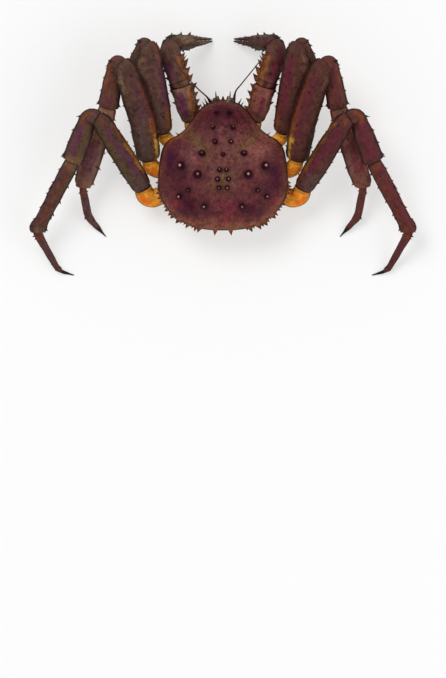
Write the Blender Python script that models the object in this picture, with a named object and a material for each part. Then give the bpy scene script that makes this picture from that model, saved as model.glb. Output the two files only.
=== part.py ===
"""Red king crab, standing on its leg tips and claw tips, as a still life-size model.

Sizes are in millimetres and are turned into Blender's metres when a mesh is made.
+Z is up, the head faces -Y, and the crab's left side is +X. The floor is z = 0.
Every limb is described for the left side and is mirrored for the right one.
"""

import math
import random

import bmesh
import bpy
from mathutils import Vector

MM = 0.001
UP = Vector((0, 0, 1))
JOINT_GAP = 0.3
LEFT, RIGHT = 1, -1
# The middle of the whole crab's length lies this far behind the y = 0 of the sizes below.
MIDDLE_Y = 1.3

# Carapace: the shell over the back. The outline is (y, half width), from the brow to the tail.
CARAPACE_OUTLINE = (
    (-76.0, 0.0),
    (-74.0, 10.0),
    (-69.5, 24.0),
    (-61.0, 34.0),
    (-46.5, 45.0),
    (-33.5, 54.5),
    (-25.0, 65.0),
    (-17.0, 78.5),
    (-5.0, 87.5),
    (16.0, 92.0),
    (46.0, 94.3),
    (62.0, 92.5),
    (76.0, 85.5),
    (90.0, 74.5),
    (101.0, 60.0),
    (108.5, 44.0),
    (112.5, 23.0),
    (113.5, 0.0),
)
CARAPACE_CENTRE_Y = 26.0
CARAPACE_UNDERSIDE_Z = 50.3
CARAPACE_RIM_Z = 60.0
CARAPACE_DOME = 40.0
CARAPACE_TUCK = 0.86
CARAPACE_SIDES = 44
CARAPACE_RINGS = (0.955, 0.86, 0.72, 0.55, 0.36, 0.17)
DOME_STEEPNESS, DOME_ROUNDNESS = 2.4, 0.6
# Swellings of the shell over the organs: (x, y, width, length, height), mirrored where x isn't 0.
SWELLINGS = (
    (0.0, -32.0, 24.0, 24.0, 10.0),
    (0.0, 40.0, 20.0, 24.0, 6.0),
    (52.0, 30.0, 26.0, 40.0, 7.0),
)

# Back spines that stand in pairs: (x, y, length). The three close pairs round y 39 are the six of the
# heart region.
BACK_SPINES = (
    (8.8, -56.5, 7.0),
    (13.8, -35.5, 6.0),
    (10.9, -15.5, 6.5),
    (30.7, 2.2, 7.0),
    (59.9, 20.3, 10.0),
    (36.8, 32.2, 9.5),
    (4.8, 25.8, 5.5),
    (7.7, 39.2, 5.5),
    (5.7, 51.5, 5.5),
    (50.0, 55.1, 6.0),
    (62.8, 63.8, 7.0),
    (27.4, 78.3, 7.5),
)
MIDDLE_SPINE = (0.0, 3.6, 5.5)
BACK_SPINE_WIDTH, BACK_SPINE_SWELL, BACK_SPINE_UPRIGHT = 1.0, 0.66, 0.6
# Brow spines: (x, y, length, heading, pitch). Heading 0 is straight out to the side, -90 to the front.
BROW_SPINES = (
    (22.0, -68.5, 10.5, -60, 12),
    (25.0, -66.0, 8.5, -50, 8),
    (28.5, -63.0, 6.5, -44, 4),
    (15.5, -70.0, 7.0, -76, 18),
    (64.0, -24.5, 6.5, -35, 5),
)
BROW_SPINE_WIDTH, BROW_SPINE_LEAST = 0.4, 1.2
BROW_SPINE_Z = 62.0
ROSTRUM_HORN = ((4.5, -69.0, 65.0), (9.5, -78.0, 68.5), (10.6, -88.0, 72.0))
ROSTRUM_HORN_RADII = (2.6, 1.8, 0.5)
ROSTRUM_BEAK = ((0.0, -68.0, 62.0), (0.0, -75.0, 60.5), (0.0, -81.0, 56.0))
ROSTRUM_BEAK_RADII = (4.4, 3.0, 0.7)
RIM_SPINE_FROM, RIM_SPINE_TO = 44.0, 111.0
RIM_SPINES = 19
RIM_SPINE_SHORT, RIM_SPINE_LONG = 3.2, 5.2
RIM_SPINE_WIDTH, RIM_SPINE_SUNK, RIM_SPINE_TILT = 0.8, 1.0, 0.25
RIM_SPINE_Z = (60.5, 62.5)
RIM_STEPS = 240
TAIL_SPINE = (11.0, 111.0, 10.5, 84, 6)

# Thorax: the block under the shell that carries the limbs.
THORAX_TOP_Z, THORAX_WALL_Z, THORAX_BOTTOM_Z = 50.0, 26.0, 20.0
THORAX_BOTTOM_SHARE = 0.92
FACE_Y, FACE_HALF_WIDTH = -61.0, 17.0
THORAX_TAIL = ((44.0, 92.0), (22.0, 99.0))
SEAT_MARGIN = 0.8

# Abdomen: the tail flap, folded forward under the thorax. (y, half width) at each plate's edge.
ABDOMEN_PLATES = (
    (98.0, 35.0),
    (84.0, 37.0),
    (70.0, 34.0),
    (56.0, 29.0),
    (42.0, 24.0),
    (28.0, 19.0),
    (14.0, 13.0),
    (2.0, 5.0),
)
ABDOMEN_TOP_Z = THORAX_BOTTOM_Z - JOINT_GAP
ABDOMEN_DEPTH, ABDOMEN_SEAM_DEPTH = 9.0, 6.8
ABDOMEN_SEAM_SHARE, ABDOMEN_SQUARENESS, ABDOMEN_STEPS = 0.95, 0.8, 8

# Limbs. A stretch is (length, heading, pitch): heading 0 is straight out to the side, 90 to the tail.
# Stretches meet at rounded corners, numbered from the root. Each segment ends at one of them.
LEGS = {
    "leg1": {
        "hip": (58.0, -3.0, 36.0),
        "runs": ((29, -30, 0), (15, -71, 36), (154, -81, 28), (25, 48, -64), (58, 71, -38),
                 (97, 102, -24), (63, 99, None)),
        "ends": {"coxa": 1, "merus": 2, "carpus": 4, "propodus": 5, "dactyl": None},
        "sizes": {"coxa": (21, 21), "merus": (30, 24), "carpus": (23, 19), "propodus": (21, 17),
                  "dactyl": (10, 9)},
        "girth": {},
    },
    "leg2": {
        "hip": (72.5, 27.5, 36.0),
        "runs": ((30, -3, 0), (19, -73, 31), (61, -81, 30), (107, -71.5, 24.8), (26, 38, -63),
                 (65, 80, -16), (127, 72, -17.3), (54, 101, -33.6), (40, 132, None)),
        "ends": {"coxa": 1, "merus": 3, "carpus": 5, "propodus": 6, "dactyl": None},
        "sizes": {"coxa": (24, 22), "merus": (36, 25), "carpus": (27, 21), "propodus": (29, 18),
                  "dactyl": (12, 10)},
        "girth": {"dactyl": ((0, 0.86), (0.3, 0.92), (0.6, 0.9), (0.74, 0.66), (1, 0.14))},
    },
    "leg3": {
        "hip": (72.5, 56.5, 36.0),
        "runs": ((40, 21, 0), (22, -72, 27), (140, -58, 29.3), (23, 2, -52), (70, 70, -11.4),
                 (122, 62.5, -20.7), (75, 119.5, -28.6), (23.5, 164, None)),
        "ends": {"coxa": 1, "merus": 2, "carpus": 4, "propodus": 5, "dactyl": None},
        "sizes": {"coxa": (26, 22), "merus": (30, 24), "carpus": (29, 21), "propodus": (23, 17),
                  "dactyl": (12, 10)},
        "girth": {
            "coxa": ((0, 0.92), (0.35, 1.0), (0.75, 1.1), (1, 0.95)),
            "propodus": ((0, 0.84), (0.12, 0.93), (0.4, 0.92), (0.66, 0.87), (0.84, 0.86), (0.95, 1.05),
                         (1, 0.92)),
            "dactyl": ((0, 1.1), (0.12, 1.02), (0.4, 0.84), (0.72, 0.7), (0.82, 0.42), (1, 0.14)),
        },
    },
}
CLAW = {
    "hip": (34.8, -21.8, 34.0),
    "runs": ((17, -52, 0), (10, -79, 4), (61, -76, 31), (66, -69, 10), (102.5, -175, None)),
    "ends": {"coxa": 1, "merus": 2, "carpus": None},
    "sizes": {"coxa": (20, 19), "merus": (30, 24), "carpus": (29, 25), "palm": (23, 27)},
    "girth": {
        "merus": ((0, 0.66), (0.12, 0.8), (0.45, 1.0), (0.8, 1.0), (0.93, 0.86), (1, 0.74)),
        "carpus": ((0, 0.78), (0.15, 0.92), (0.45, 0.98), (0.8, 1.0), (1, 0.84)),
    },
}
CORNER_RADIUS = 14.0
EASY_CORNER = 10.0
TIP_Z = 0.6
CLAW_RADIUS = 17.0
WRIST_AFTER_CORNER = 6.0

# Girth along each segment, as (place along it, share of its width), from the root to the far end.
GIRTH = {
    "coxa": ((0, 0.96), (0.35, 1.0), (0.7, 1.0), (1, 0.88)),
    "merus": ((0, 0.8), (0.07, 0.93), (0.3, 1.02), (0.6, 1.0), (0.84, 0.9), (0.93, 0.72), (1, 0.6)),
    "carpus": ((0, 0.66), (0.25, 0.78), (0.6, 0.97), (0.93, 1.04), (1, 0.96)),
    "propodus": ((0, 0.82), (0.12, 0.93), (0.4, 0.97), (0.75, 1.0), (0.93, 0.92), (1, 0.7)),
    "dactyl": ((0, 0.92), (0.12, 1.0), (0.45, 0.82), (0.72, 0.72), (0.82, 0.42), (1, 0.14)),
    "palm": ((0, 0.8), (0.2, 1.0), (0.5, 0.98), (0.8, 0.88), (1, 0.8)),
}
# How much wider across a segment is than its girth says: the knees are broad and shallow.
SPREAD = {
    "merus": ((0, 1.0), (0.75, 1.0), (1, 1.22)),
    "carpus": ((0, 1.12), (0.4, 1.04), (1, 1.0)),
}
NO_SPREAD = ((0, 1.0), (1, 1.0))
# How much further a segment reaches on its outer side, as a share of its half width.
WINGS = {
    "leg1_merus": ((0, 1.0), (0.42, 1.0), (0.62, 1.38), (0.78, 2.0), (0.88, 1.62), (0.95, 1.2), (1, 1.05)),
}
SECTION_SIDES = {"coxa": 12, "merus": 12, "carpus": 12, "propodus": 12, "dactyl": 8, "palm": 12}
SECTION_SQUARENESS = 0.86
STATION_TURN = 20.0
STATION_SPAN = 0.34
TURN_SAMPLES = 24
ARC_STEP = 6.0

# Rows of spines along a segment: (angle round it, from, to, count, length). Angle 90 is its top.
SPINE_ROWS = {
    "coxa": (),
    "merus": ((5, 0.12, 0.9, 6, 4.0), (178, 0.15, 0.6, 4, 4.0), (70, 0.2, 0.9, 5, 4.5),
              (115, 0.3, 0.85, 3, 4.0)),
    "carpus": ((178, 0.66, 0.93, 2, 5.0), (5, 0.25, 0.93, 4, 4.5), (95, 0.6, 0.92, 2, 4.5)),
    "propodus": ((178, 0.12, 0.93, 5, 4.5), (3, 0.15, 0.88, 5, 3.8), (90, 0.15, 0.85, 4, 3.8)),
    "dactyl": ((178, 0.1, 0.1, 1, 3.0), (5, 0.1, 0.1, 1, 3.0)),
}
CLAW_SPINE_ROWS = {
    "coxa": (),
    "merus": ((5, 0.3, 0.91, 4, 8.0), (60, 0.35, 0.91, 3, 5.0), (178, 0.6, 0.92, 2, 4.5)),
    "carpus": ((5, 0.12, 0.62, 4, 9.0), (95, 0.1, 0.8, 4, 6.0), (45, 0.2, 0.75, 3, 6.0),
               (178, 0.1, 0.8, 5, 5.0)),
    "palm": ((178, 0.15, 0.85, 3, 5.0), (120, 0.2, 0.85, 3, 4.5), (75, 0.25, 0.85, 3, 4.0),
             (5, 0.45, 0.8, 2, 3.5)),
}
# Single spurs at the knees and far ends: (place along, angle, lean along the limb, length, base radius).
SPURS = {
    "leg1_merus": ((0.96, -12, 2.7, 7.0, 1.4),),
    "leg1_carpus": ((0.13, 50, -0.9, 9.0, 3.2),),
    "leg2_carpus": ((0.16, 35, -0.9, 7.5, 3.0), (0.33, -28, 0.0, 4.5, 2.4), (0.96, -5, 0.8, 6.5, 1.8)),
    "leg2_propodus": ((0.71, 140, 0.0, 6.5, 1.6),),
    "leg2_dactyl": ((0.54, 35, 0.5, 5.0, 2.0),),
    "leg3_carpus": ((0.26, 0, 0.75, 7.5, 1.4), (0.96, 5, 1.0, 5.5, 2.0)),
    "leg3_propodus": ((0.37, 25, 3.0, 10.5, 2.0), (0.58, 40, 3.0, 14.5, 2.0), (0.74, 155, 1.5, 5.5, 1.9),
                      (0.93, 45, 0.75, 7.5, 2.0)),
    "leg3_dactyl": ((0.05, 35, -0.3, 6.0, 1.7), (0.7, 55, 0.0, 5.0, 1.4), (0.73, 145, 2.5, 4.0, 1.2)),
    "claw_merus": ((0.9, 40, 0.75, 10.0, 2.4),),
    "claw_carpus": ((0.08, -30, 0.0, 7.5, 2.6), (0.41, 40, 0.75, 12.0, 2.4), (0.51, -25, 0.5, 12.0, 2.2)),
    "claw_palm": ((0.11, 200, -0.25, 6.5, 2.4), (0.2, 200, 0.75, 8.0, 2.2)),
}
SPINE_LEAN = 0.45
SPINE_WIDTH = 0.75
SPINE_SUNK, SPINE_SWELL_AT = 0.88, 0.38

# Claw fingers: (width, height) at the root, how far apart they stand there, and how they taper.
FINGER_SIZE = (7.8, 16.0)
FINGER_SPREAD = 4.0
FINGER_GIRTH = ((0, 1.08), (0.3, 0.9), (0.65, 0.64), (0.88, 0.42), (1, 0.25))
FINGER_STATIONS, FINGER_SIDES = (0, 0.25, 0.5, 0.75, 0.9, 1), 8
# The fingers start at this share of the claw, rooted this far back in the palm, and close to their tips.
KNUCKLE_SHARE, FINGER_SUNK = 0.5, 6.0
FINGER_CLOSING, FINGER_CLOSING_CURVE = 0.62, 1.3

# Head pieces on the face of the thorax: root (x, z), then the way each one goes.
EYE_ROOT, EYE_TIP, EYE_RADIUS = (7.5, 44.0), (12.0, -75.0, 46.5), 3.9
EYE_STALK_RADII = (3.0, 2.7, 3.3)
ANTENNULE = ((3.2, FACE_Y, 36.0), (4.5, -70.0, 37.0), (6.0, -77.5, 43.0), (7.0, -81.5, 51.0))
ANTENNULE_RADII = (1.9, 1.7, 0.9, 0.4)
MAXILLIPED = ((7.6, FACE_Y, 27.5), (8.5, -71.0, 26.0), (9.0, -78.0, 18.0), (6.0, -74.0, 9.0))
MAXILLIPED_RADII = (4.0, 3.8, 3.0, 1.6)
ANTENNA_ROOT = (13.2, FACE_Y, 38.0)
ANTENNA_LEFT = ((18.0, -71.5, 41.0), (23.5, -80.0, 57.0), (36.0, -91.5, 83.0), (56.0, -113.0, 101.0),
                (74.0, -138.0, 110.0))
ANTENNA_RIGHT = ((15.5, -73.0, 41.0), (18.5, -88.0, 43.0), (27.0, -99.0, 43.5), (49.0, -126.0, 42.0),
                 (64.0, -144.0, 39.0))
ANTENNA_RADII = (3.3, 2.6, 1.2, 0.95, 0.75, 0.5)

MATERIALS = {
    "shell": ((0.10, 0.022, 0.026), 0.5),
    "leg": ((0.085, 0.038, 0.032), 0.5),
    "joint": ((0.60, 0.19, 0.03), 0.55),
    "belly": ((0.62, 0.36, 0.16), 0.55),
    "claw": ((0.11, 0.045, 0.03), 0.45),
    "eye": ((0.004, 0.003, 0.003), 0.15),
    "feeler": ((0.07, 0.02, 0.018), 0.5),
}


def clear_scene():
    for obj in list(bpy.data.objects):
        bpy.data.objects.remove(obj)


def material(name):
    found = bpy.data.materials.get(name)
    if found:
        return found
    colour, roughness = MATERIALS[name]
    made = bpy.data.materials.new(name)
    made.use_nodes = True
    shader = made.node_tree.nodes["Principled BSDF"]
    shader.inputs["Base Color"].default_value = (*colour, 1)
    shader.inputs["Roughness"].default_value = roughness
    shader.inputs["Metallic"].default_value = 0.0
    return made


def heading_vector(heading, pitch):
    """A unit vector from a heading in plan and a pitch above the horizon, in degrees."""
    h, p = math.radians(heading), math.radians(pitch)
    return Vector((math.cos(h) * math.cos(p), math.sin(h) * math.cos(p), math.sin(p)))


def interpolate(table, t):
    """The value at t in a table of (t, value), smooth between its rows."""
    for (t0, v0), (t1, v1) in zip(table, table[1:]):
        if t <= t1:
            u = (t - t0) / (t1 - t0)
            return v0 + (v1 - v0) * u * u * (3 - 2 * u)
    return table[-1][1]


class Path:
    """A centre line of straight stretches with rounded corners, read by its length."""

    def __init__(self, corners, radius):
        self.points, self.corner_index = [Vector(corners[0])], []
        runs = [b - a for a, b in zip(corners, corners[1:])]
        bends = [0.0, *(math.tan(a.angle(b) / 2) for a, b in zip(runs, runs[1:])), 0.0]
        room = [run.length / (a + b) for run, a, b in zip(runs, bends, bends[1:])]
        for i, corner in enumerate(corners[1:-1]):
            easy = max(radius, EASY_CORNER / bends[i + 1])
            bend = min(easy, 0.98 * room[i], 0.98 * room[i + 1])
            self.add_corner(runs[i], corner, runs[i + 1], bend)
        self.points.append(Vector(corners[-1]))
        self.at = [0.0]
        for a, b in zip(self.points, self.points[1:]):
            self.at.append(self.at[-1] + (b - a).length)
        self.length = self.at[-1]
        self.corner_at = [self.at[i] for i in self.corner_index]

    def add_corner(self, into, corner, out, bend):
        """An arc of radius bend in place of a corner."""
        turn = into.angle(out)
        tangent = bend * math.tan(turn / 2)
        into, out = into.normalized(), out.normalized()
        across = (out - into * out.dot(into)).normalized()
        steps = max(4, 2 * round(math.degrees(turn) / (2 * ARC_STEP)))
        for i in range(steps + 1):
            a = turn * i / steps
            self.points.append(
                corner - into * tangent + into * bend * math.sin(a) + across * bend * (1 - math.cos(a))
            )
            if i == steps // 2:
                self.corner_index.append(len(self.points) - 1)

    def place(self, s):
        """Position and unit tangent at a length along the line."""
        s = min(max(s, 0.0), self.length)
        i = 0
        while i < len(self.at) - 2 and self.at[i + 1] < s:
            i += 1
        u = (s - self.at[i]) / (self.at[i + 1] - self.at[i])
        position = self.points[i].lerp(self.points[i + 1], u)
        tangent = self.vertex_tangent(i).lerp(self.vertex_tangent(i + 1), u)
        return position, tangent.normalized()

    def vertex_tangent(self, i):
        a = self.points[max(i - 1, 0)]
        b = self.points[min(i + 1, len(self.points) - 1)]
        return (b - a).normalized()


def limb_path(hip, runs, radius):
    """The rounded line of a limb. The last stretch has no pitch of its own: it ends on the floor."""
    corners = [Vector(hip)]
    for length, heading, pitch in runs:
        if pitch is None:
            pitch = math.degrees(math.asin((TIP_Z - corners[-1].z) / length))
        corners.append(corners[-1] + heading_vector(heading, pitch) * length)
    return Path(corners, radius)


class Segment:
    """One hard segment of a limb: a stretch of its path with a girth."""

    def __init__(
        self, path, start, end, size, girth, sides, gaps=(0.0, 0.0), spread=NO_SPREAD, wing=NO_SPREAD
    ):
        self.path, self.start, self.end, self.gaps = path, start, end, gaps
        self.half_width, self.half_height = size[0] / 2, size[1] / 2
        self.girth, self.sides, self.spread, self.wing = girth, sides, spread, wing

    def frame(self, t):
        """Centre, direction along, direction across, direction up and share of the girth at t."""
        centre, along = self.path.place(self.start + (self.end - self.start) * t)
        if t <= 0:
            centre = centre + along * self.gaps[0]
        if t >= 1:
            centre = centre - along * self.gaps[1]
        across = along.cross(UP).normalized()
        return centre, along, across, across.cross(along), interpolate(self.girth, t)

    def rim_point(self, t, angle):
        """A point of the surface at t, angle degrees round the section, and the way out there."""
        centre, along, across, up, share = self.frame(t)
        c, s = math.cos(math.radians(angle)), math.sin(math.radians(angle))
        w = self.half_width * share * interpolate(self.spread, t)
        if c < 0:
            w *= interpolate(self.wing, t)
        h = self.half_height * share
        point = centre + across * w * math.copysign(abs(c) ** SECTION_SQUARENESS, c)
        point += up * h * math.copysign(abs(s) ** SECTION_SQUARENESS, s)
        out = (across * c / w + up * s / h).normalized()
        return point, out, along

    def stations(self):
        """Places of the rings: at the rows of the girth and wing, and closer where the path turns."""
        rows = sorted({t for t, _ in (*self.girth, *self.wing)})
        found = [rows[0]]
        for a, b in zip(rows, rows[1:]):
            steps = max(1, math.ceil((b - a) / STATION_SPAN))
            fine = [a + (b - a) * i / TURN_SAMPLES for i in range(TURN_SAMPLES + 1)]
            turn = sum(
                self.frame(u)[1].angle(self.frame(v)[1], 0.0) for u, v in zip(fine, fine[1:])
            )
            steps = max(steps, math.ceil(math.degrees(turn) / STATION_TURN))
            found += [a + (b - a) * i / steps for i in range(1, steps + 1)]
        return found

    def rings(self):
        return [
            [self.rim_point(t, 360 * i / self.sides)[0] for i in range(self.sides)]
            for t in self.stations()
        ]


def loft(rings):
    """Vertices and triangles of a closed shape through rings of equal count, with flat ends."""
    n = len(rings[0])
    vertices = [p for ring in rings for p in ring]
    faces = []
    for r in range(len(rings) - 1):
        for i in range(n):
            a, b = r * n + i, r * n + (i + 1) % n
            faces += [(a, b, b + n), (a, b + n, a + n)]
    last = (len(rings) - 1) * n
    faces += [(0, i + 1, i) for i in range(1, n - 1)]
    faces += [(last, last + i, last + i + 1) for i in range(1, n - 1)]
    return vertices, faces


def cone(root, direction, radius, length, sides=5, swell=0.0):
    """A spine from root along direction. Its base is sunk, and swell rounds its lower half."""
    direction = direction.normalized()
    a = direction.orthogonal().normalized()
    b = direction.cross(a)
    levels = [(-SPINE_SUNK * radius, 1.0)]
    if swell:
        levels.append((length * SPINE_SWELL_AT, swell))
    vertices = []
    for height, share in levels:
        for i in range(sides):
            turn = 2 * math.pi * i / sides
            vertices.append(
                root + direction * height + (a * math.cos(turn) + b * math.sin(turn)) * radius * share
            )
    vertices.append(root + direction * length)
    tip, top = len(vertices) - 1, (len(levels) - 1) * sides
    faces = [(top + i, top + (i + 1) % sides, tip) for i in range(sides)]
    if swell:
        for i in range(sides):
            j = (i + 1) % sides
            faces += [(i, j, sides + j), (i, sides + j, sides + i)]
    faces += [(0, i + 1, i) for i in range(1, sides - 1)]
    return vertices, faces


def tube(points, radii, sides=6, steps=1):
    """A round, tapering shape along a few points, smoothed between them."""
    line, sizes = [], []
    padded = [points[0] * 2 - points[1], *points, points[-1] * 2 - points[-2]]
    for k in range(len(points) - 1):
        p0, p1, p2, p3 = padded[k : k + 4]
        for i in range(steps):
            u = i / steps
            line.append(
                0.5 * (2 * p1 + (p2 - p0) * u + (2 * p0 - 5 * p1 + 4 * p2 - p3) * u**2
                       + (3 * p1 - p0 - 3 * p2 + p3) * u**3)
            )
            sizes.append(radii[k] + (radii[k + 1] - radii[k]) * u)
    line.append(points[-1])
    sizes.append(radii[-1])
    rings = []
    for i, (centre, radius) in enumerate(zip(line, sizes)):
        along = (line[min(i + 1, len(line) - 1)] - line[max(i - 1, 0)]).normalized()
        if i == 0:
            along = Vector((0, -1, 0)) if abs(along.y) > 0.5 else along
        across = along.cross(UP).normalized()
        up = across.cross(along)
        rings.append(
            [centre + (across * math.cos(2 * math.pi * j / sides)
                       + up * math.sin(2 * math.pi * j / sides)) * radius for j in range(sides)]
        )
    return loft(rings)


def mesh_object(name, shape, side=LEFT):
    """An object from a shape in millimetres, mirrored for the right side, its faces turned outward."""
    vertices, faces = shape
    mesh = bpy.data.meshes.new(name)
    points = [(v[0] * side * MM, (v[1] - MIDDLE_Y) * MM, v[2] * MM) for v in vertices]
    mesh.from_pydata(points, [], faces)
    made = bmesh.new()
    made.from_mesh(mesh)
    bmesh.ops.recalc_face_normals(made, faces=made.faces)
    if made.calc_volume(signed=True) < 0:
        bmesh.ops.reverse_faces(made, faces=made.faces)
    made.to_mesh(mesh)
    made.free()
    obj = bpy.data.objects.new(name, mesh)
    bpy.context.scene.collection.objects.link(obj)
    return obj


def apply_boolean(obj, operation, others):
    """One Boolean of obj with a collection of other objects, which are removed afterwards."""
    group = bpy.data.collections.new(obj.name + "_others")
    bpy.context.scene.collection.children.link(group)
    for other in others:
        bpy.context.scene.collection.objects.unlink(other)
        group.objects.link(other)
    modifier = obj.modifiers.new(operation, "BOOLEAN")
    modifier.operation = operation
    modifier.operand_type = "COLLECTION"
    modifier.collection = group
    modifier.solver = "EXACT"
    graph = bpy.context.evaluated_depsgraph_get()
    joined = bpy.data.meshes.new_from_object(obj.evaluated_get(graph))
    obj.modifiers.clear()
    obj.data = joined
    for other in others:
        bpy.data.objects.remove(other)
    bpy.data.collections.remove(group)


def keep_largest(obj):
    """Triangulates the mesh and drops all but its largest closed surface."""
    made = bmesh.new()
    made.from_mesh(obj.data)
    bmesh.ops.triangulate(made, faces=made.faces)
    left, islands = set(made.faces), []
    while left:
        front, island = [left.pop()], set()
        while front:
            face = front.pop()
            island.add(face)
            for edge in face.edges:
                for other in edge.link_faces:
                    if other in left:
                        left.remove(other)
                        front.append(other)
        islands.append(island)
    islands.sort(key=lambda faces: sum(face.calc_area() for face in faces))
    loose = [face for island in islands[:-1] for face in island]
    bmesh.ops.delete(made, geom=loose, context="FACES")
    made.to_mesh(obj.data)
    made.free()


def node(name, shape, material_name, extras=(), side=LEFT):
    """One named piece of the crab: its main shape with the extra shapes fused to it."""
    obj = mesh_object(name, shape, side)
    if extras:
        apply_boolean(obj, "UNION", [mesh_object(name + "_extra", e, side) for e in extras])
    keep_largest(obj)
    obj.data.materials.clear()
    obj.data.materials.append(material(material_name))
    obj.data.shade_smooth()
    obj.data.set_sharp_from_angle(angle=math.radians(38))
    return obj


def segment_spines(segment, rows, spurs, chance):
    """The spines and spurs of a segment, a little uneven as real ones are."""
    found = []
    for t, angle, lean, length, radius in spurs:
        point, out, along = segment.rim_point(t, angle)
        found.append(cone(point, out + along * lean, radius, length))
    for angle, first, last, count, length in rows:
        for i in range(count):
            t = first + (last - first) * (i / (count - 1) if count > 1 else 0)
            t += chance.uniform(-0.012, 0.012)
            point, out, along = segment.rim_point(t, angle + chance.uniform(-6, 6))
            size = length * chance.uniform(0.85, 1.15)
            found.append(cone(point, out + along * SPINE_LEAN, size * SPINE_WIDTH / 2, size))
    return found


def outline_points(table, count):
    """Evenly spaced points of the closed outline that a table of (y, half width) gives."""
    half = [Vector((x, y, 0)) for y, x in table]
    ring = half + [Vector((-p.x, p.y, 0)) for p in half[-2:0:-1]]
    fine, n = [], len(ring)
    for k in range(n):
        p0, p1, p2, p3 = (ring[(k + j) % n] for j in (-1, 0, 1, 2))
        for i in range(8):
            u = i / 8
            fine.append(
                0.5 * (2 * p1 + (p2 - p0) * u + (2 * p0 - 5 * p1 + 4 * p2 - p3) * u**2
                       + (3 * p1 - p0 - 3 * p2 + p3) * u**3)
            )
    if not count:
        return fine
    lengths = [(b - a).length for a, b in zip(fine, fine[1:] + fine[:1])]
    step, found, run, k = sum(lengths) / count, [], 0.0, 0
    for i in range(count):
        while run + lengths[k] < i * step:
            run += lengths[k]
            k += 1
        found.append(fine[k].lerp(fine[(k + 1) % len(fine)], (i * step - run) / lengths[k]))
    return found


class Carapace:
    """The shell over the back, as a height above its outline."""

    def __init__(self):
        centre = Vector((0, CARAPACE_CENTRE_Y, 0))
        fine = outline_points(CARAPACE_OUTLINE, 0)
        polar = sorted((math.atan2(p.y - centre.y, p.x), (p - centre).length) for p in fine)
        self.polar = polar + [(a + 2 * math.pi, r) for a, r in polar[:2]]
        self.polar.insert(0, (polar[-1][0] - 2 * math.pi, polar[-1][1]))

    def reach(self, x, y):
        """How far out (x, y) lies, from 0 at the middle to 1 at the rim."""
        angle = math.atan2(y - CARAPACE_CENTRE_Y, x)
        for (a0, r0), (a1, r1) in zip(self.polar, self.polar[1:]):
            if a0 <= angle <= a1:
                rim = r0 + (r1 - r0) * (angle - a0) / (a1 - a0)
                return math.hypot(x, y - CARAPACE_CENTRE_Y) / rim
        return 1.0

    def height(self, x, y):
        reach = min(self.reach(x, y), 1.0)
        z = CARAPACE_RIM_Z + CARAPACE_DOME * (1 - reach**DOME_STEEPNESS) ** DOME_ROUNDNESS
        for cx, cy, width, length, rise in SWELLINGS:
            for side in (LEFT, RIGHT) if cx else (LEFT,):
                bump = math.exp(-(((x - side * cx) / width) ** 2) - ((y - cy) / length) ** 2)
                z += rise * bump * (1 - reach**6)
        return z

    def surface(self, x, y):
        """The point of the shell above (x, y) and the way out there."""
        step = 1.5
        slope_x = (self.height(x + step, y) - self.height(x - step, y)) / (2 * step)
        slope_y = (self.height(x, y + step) - self.height(x, y - step)) / (2 * step)
        return Vector((x, y, self.height(x, y))), Vector((-slope_x, -slope_y, 1)).normalized()

    def shape(self):
        rim = outline_points(CARAPACE_OUTLINE, CARAPACE_SIDES)
        centre = Vector((0, CARAPACE_CENTRE_Y, 0))

        def ring(share, z=None):
            flat = [centre + (p - centre) * share for p in rim]
            return [Vector((p.x, p.y, self.height(p.x, p.y) if z is None else z)) for p in flat]

        rings = [ring(CARAPACE_TUCK, CARAPACE_UNDERSIDE_Z), ring(1.0, CARAPACE_RIM_Z)]
        rings += [ring(share) for share in CARAPACE_RINGS]
        n = len(rim)
        vertices, faces = loft(rings)
        faces = faces[: -(n - 2)]
        top = len(vertices)
        vertices.append(Vector((0, CARAPACE_CENTRE_Y, self.height(0, CARAPACE_CENTRE_Y))))
        last = top - n
        faces += [(last + i, last + (i + 1) % n, top) for i in range(n)]
        return vertices, faces


def carapace_spines(shell):
    """Back, brow, rim and tail spines, and the rostrum between the eyes."""
    chance = random.Random("carapace spines")
    found = []
    pairs = [(side * x, y, size) for x, y, size in BACK_SPINES for side in (LEFT, RIGHT)]
    for x, y, size in [*pairs, MIDDLE_SPINE]:
        size *= chance.uniform(0.92, 1.08)
        root, out = shell.surface(x, y)
        width = size * BACK_SPINE_WIDTH
        found.append(cone(root, out + UP * BACK_SPINE_UPRIGHT, width / 2, size, 6, BACK_SPINE_SWELL))
    for side in (LEFT, RIGHT):
        for x, y, size, heading, pitch in (*BROW_SPINES, TAIL_SPINE):
            direction = heading_vector(heading, pitch)
            direction.x *= side
            root = Vector((side * x, y, BROW_SPINE_Z))
            width = size * BROW_SPINE_WIDTH + BROW_SPINE_LEAST
            found.append(cone(root, direction, width / 2, size))
        horn = [Vector((side * x, y, z)) for x, y, z in ROSTRUM_HORN]
        found.append(tube(horn, ROSTRUM_HORN_RADII, 5, 2))
    found.append(tube([Vector(p) for p in ROSTRUM_BEAK], ROSTRUM_BEAK_RADII, 6, 1))
    found += rim_spines(chance)
    return found


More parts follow.
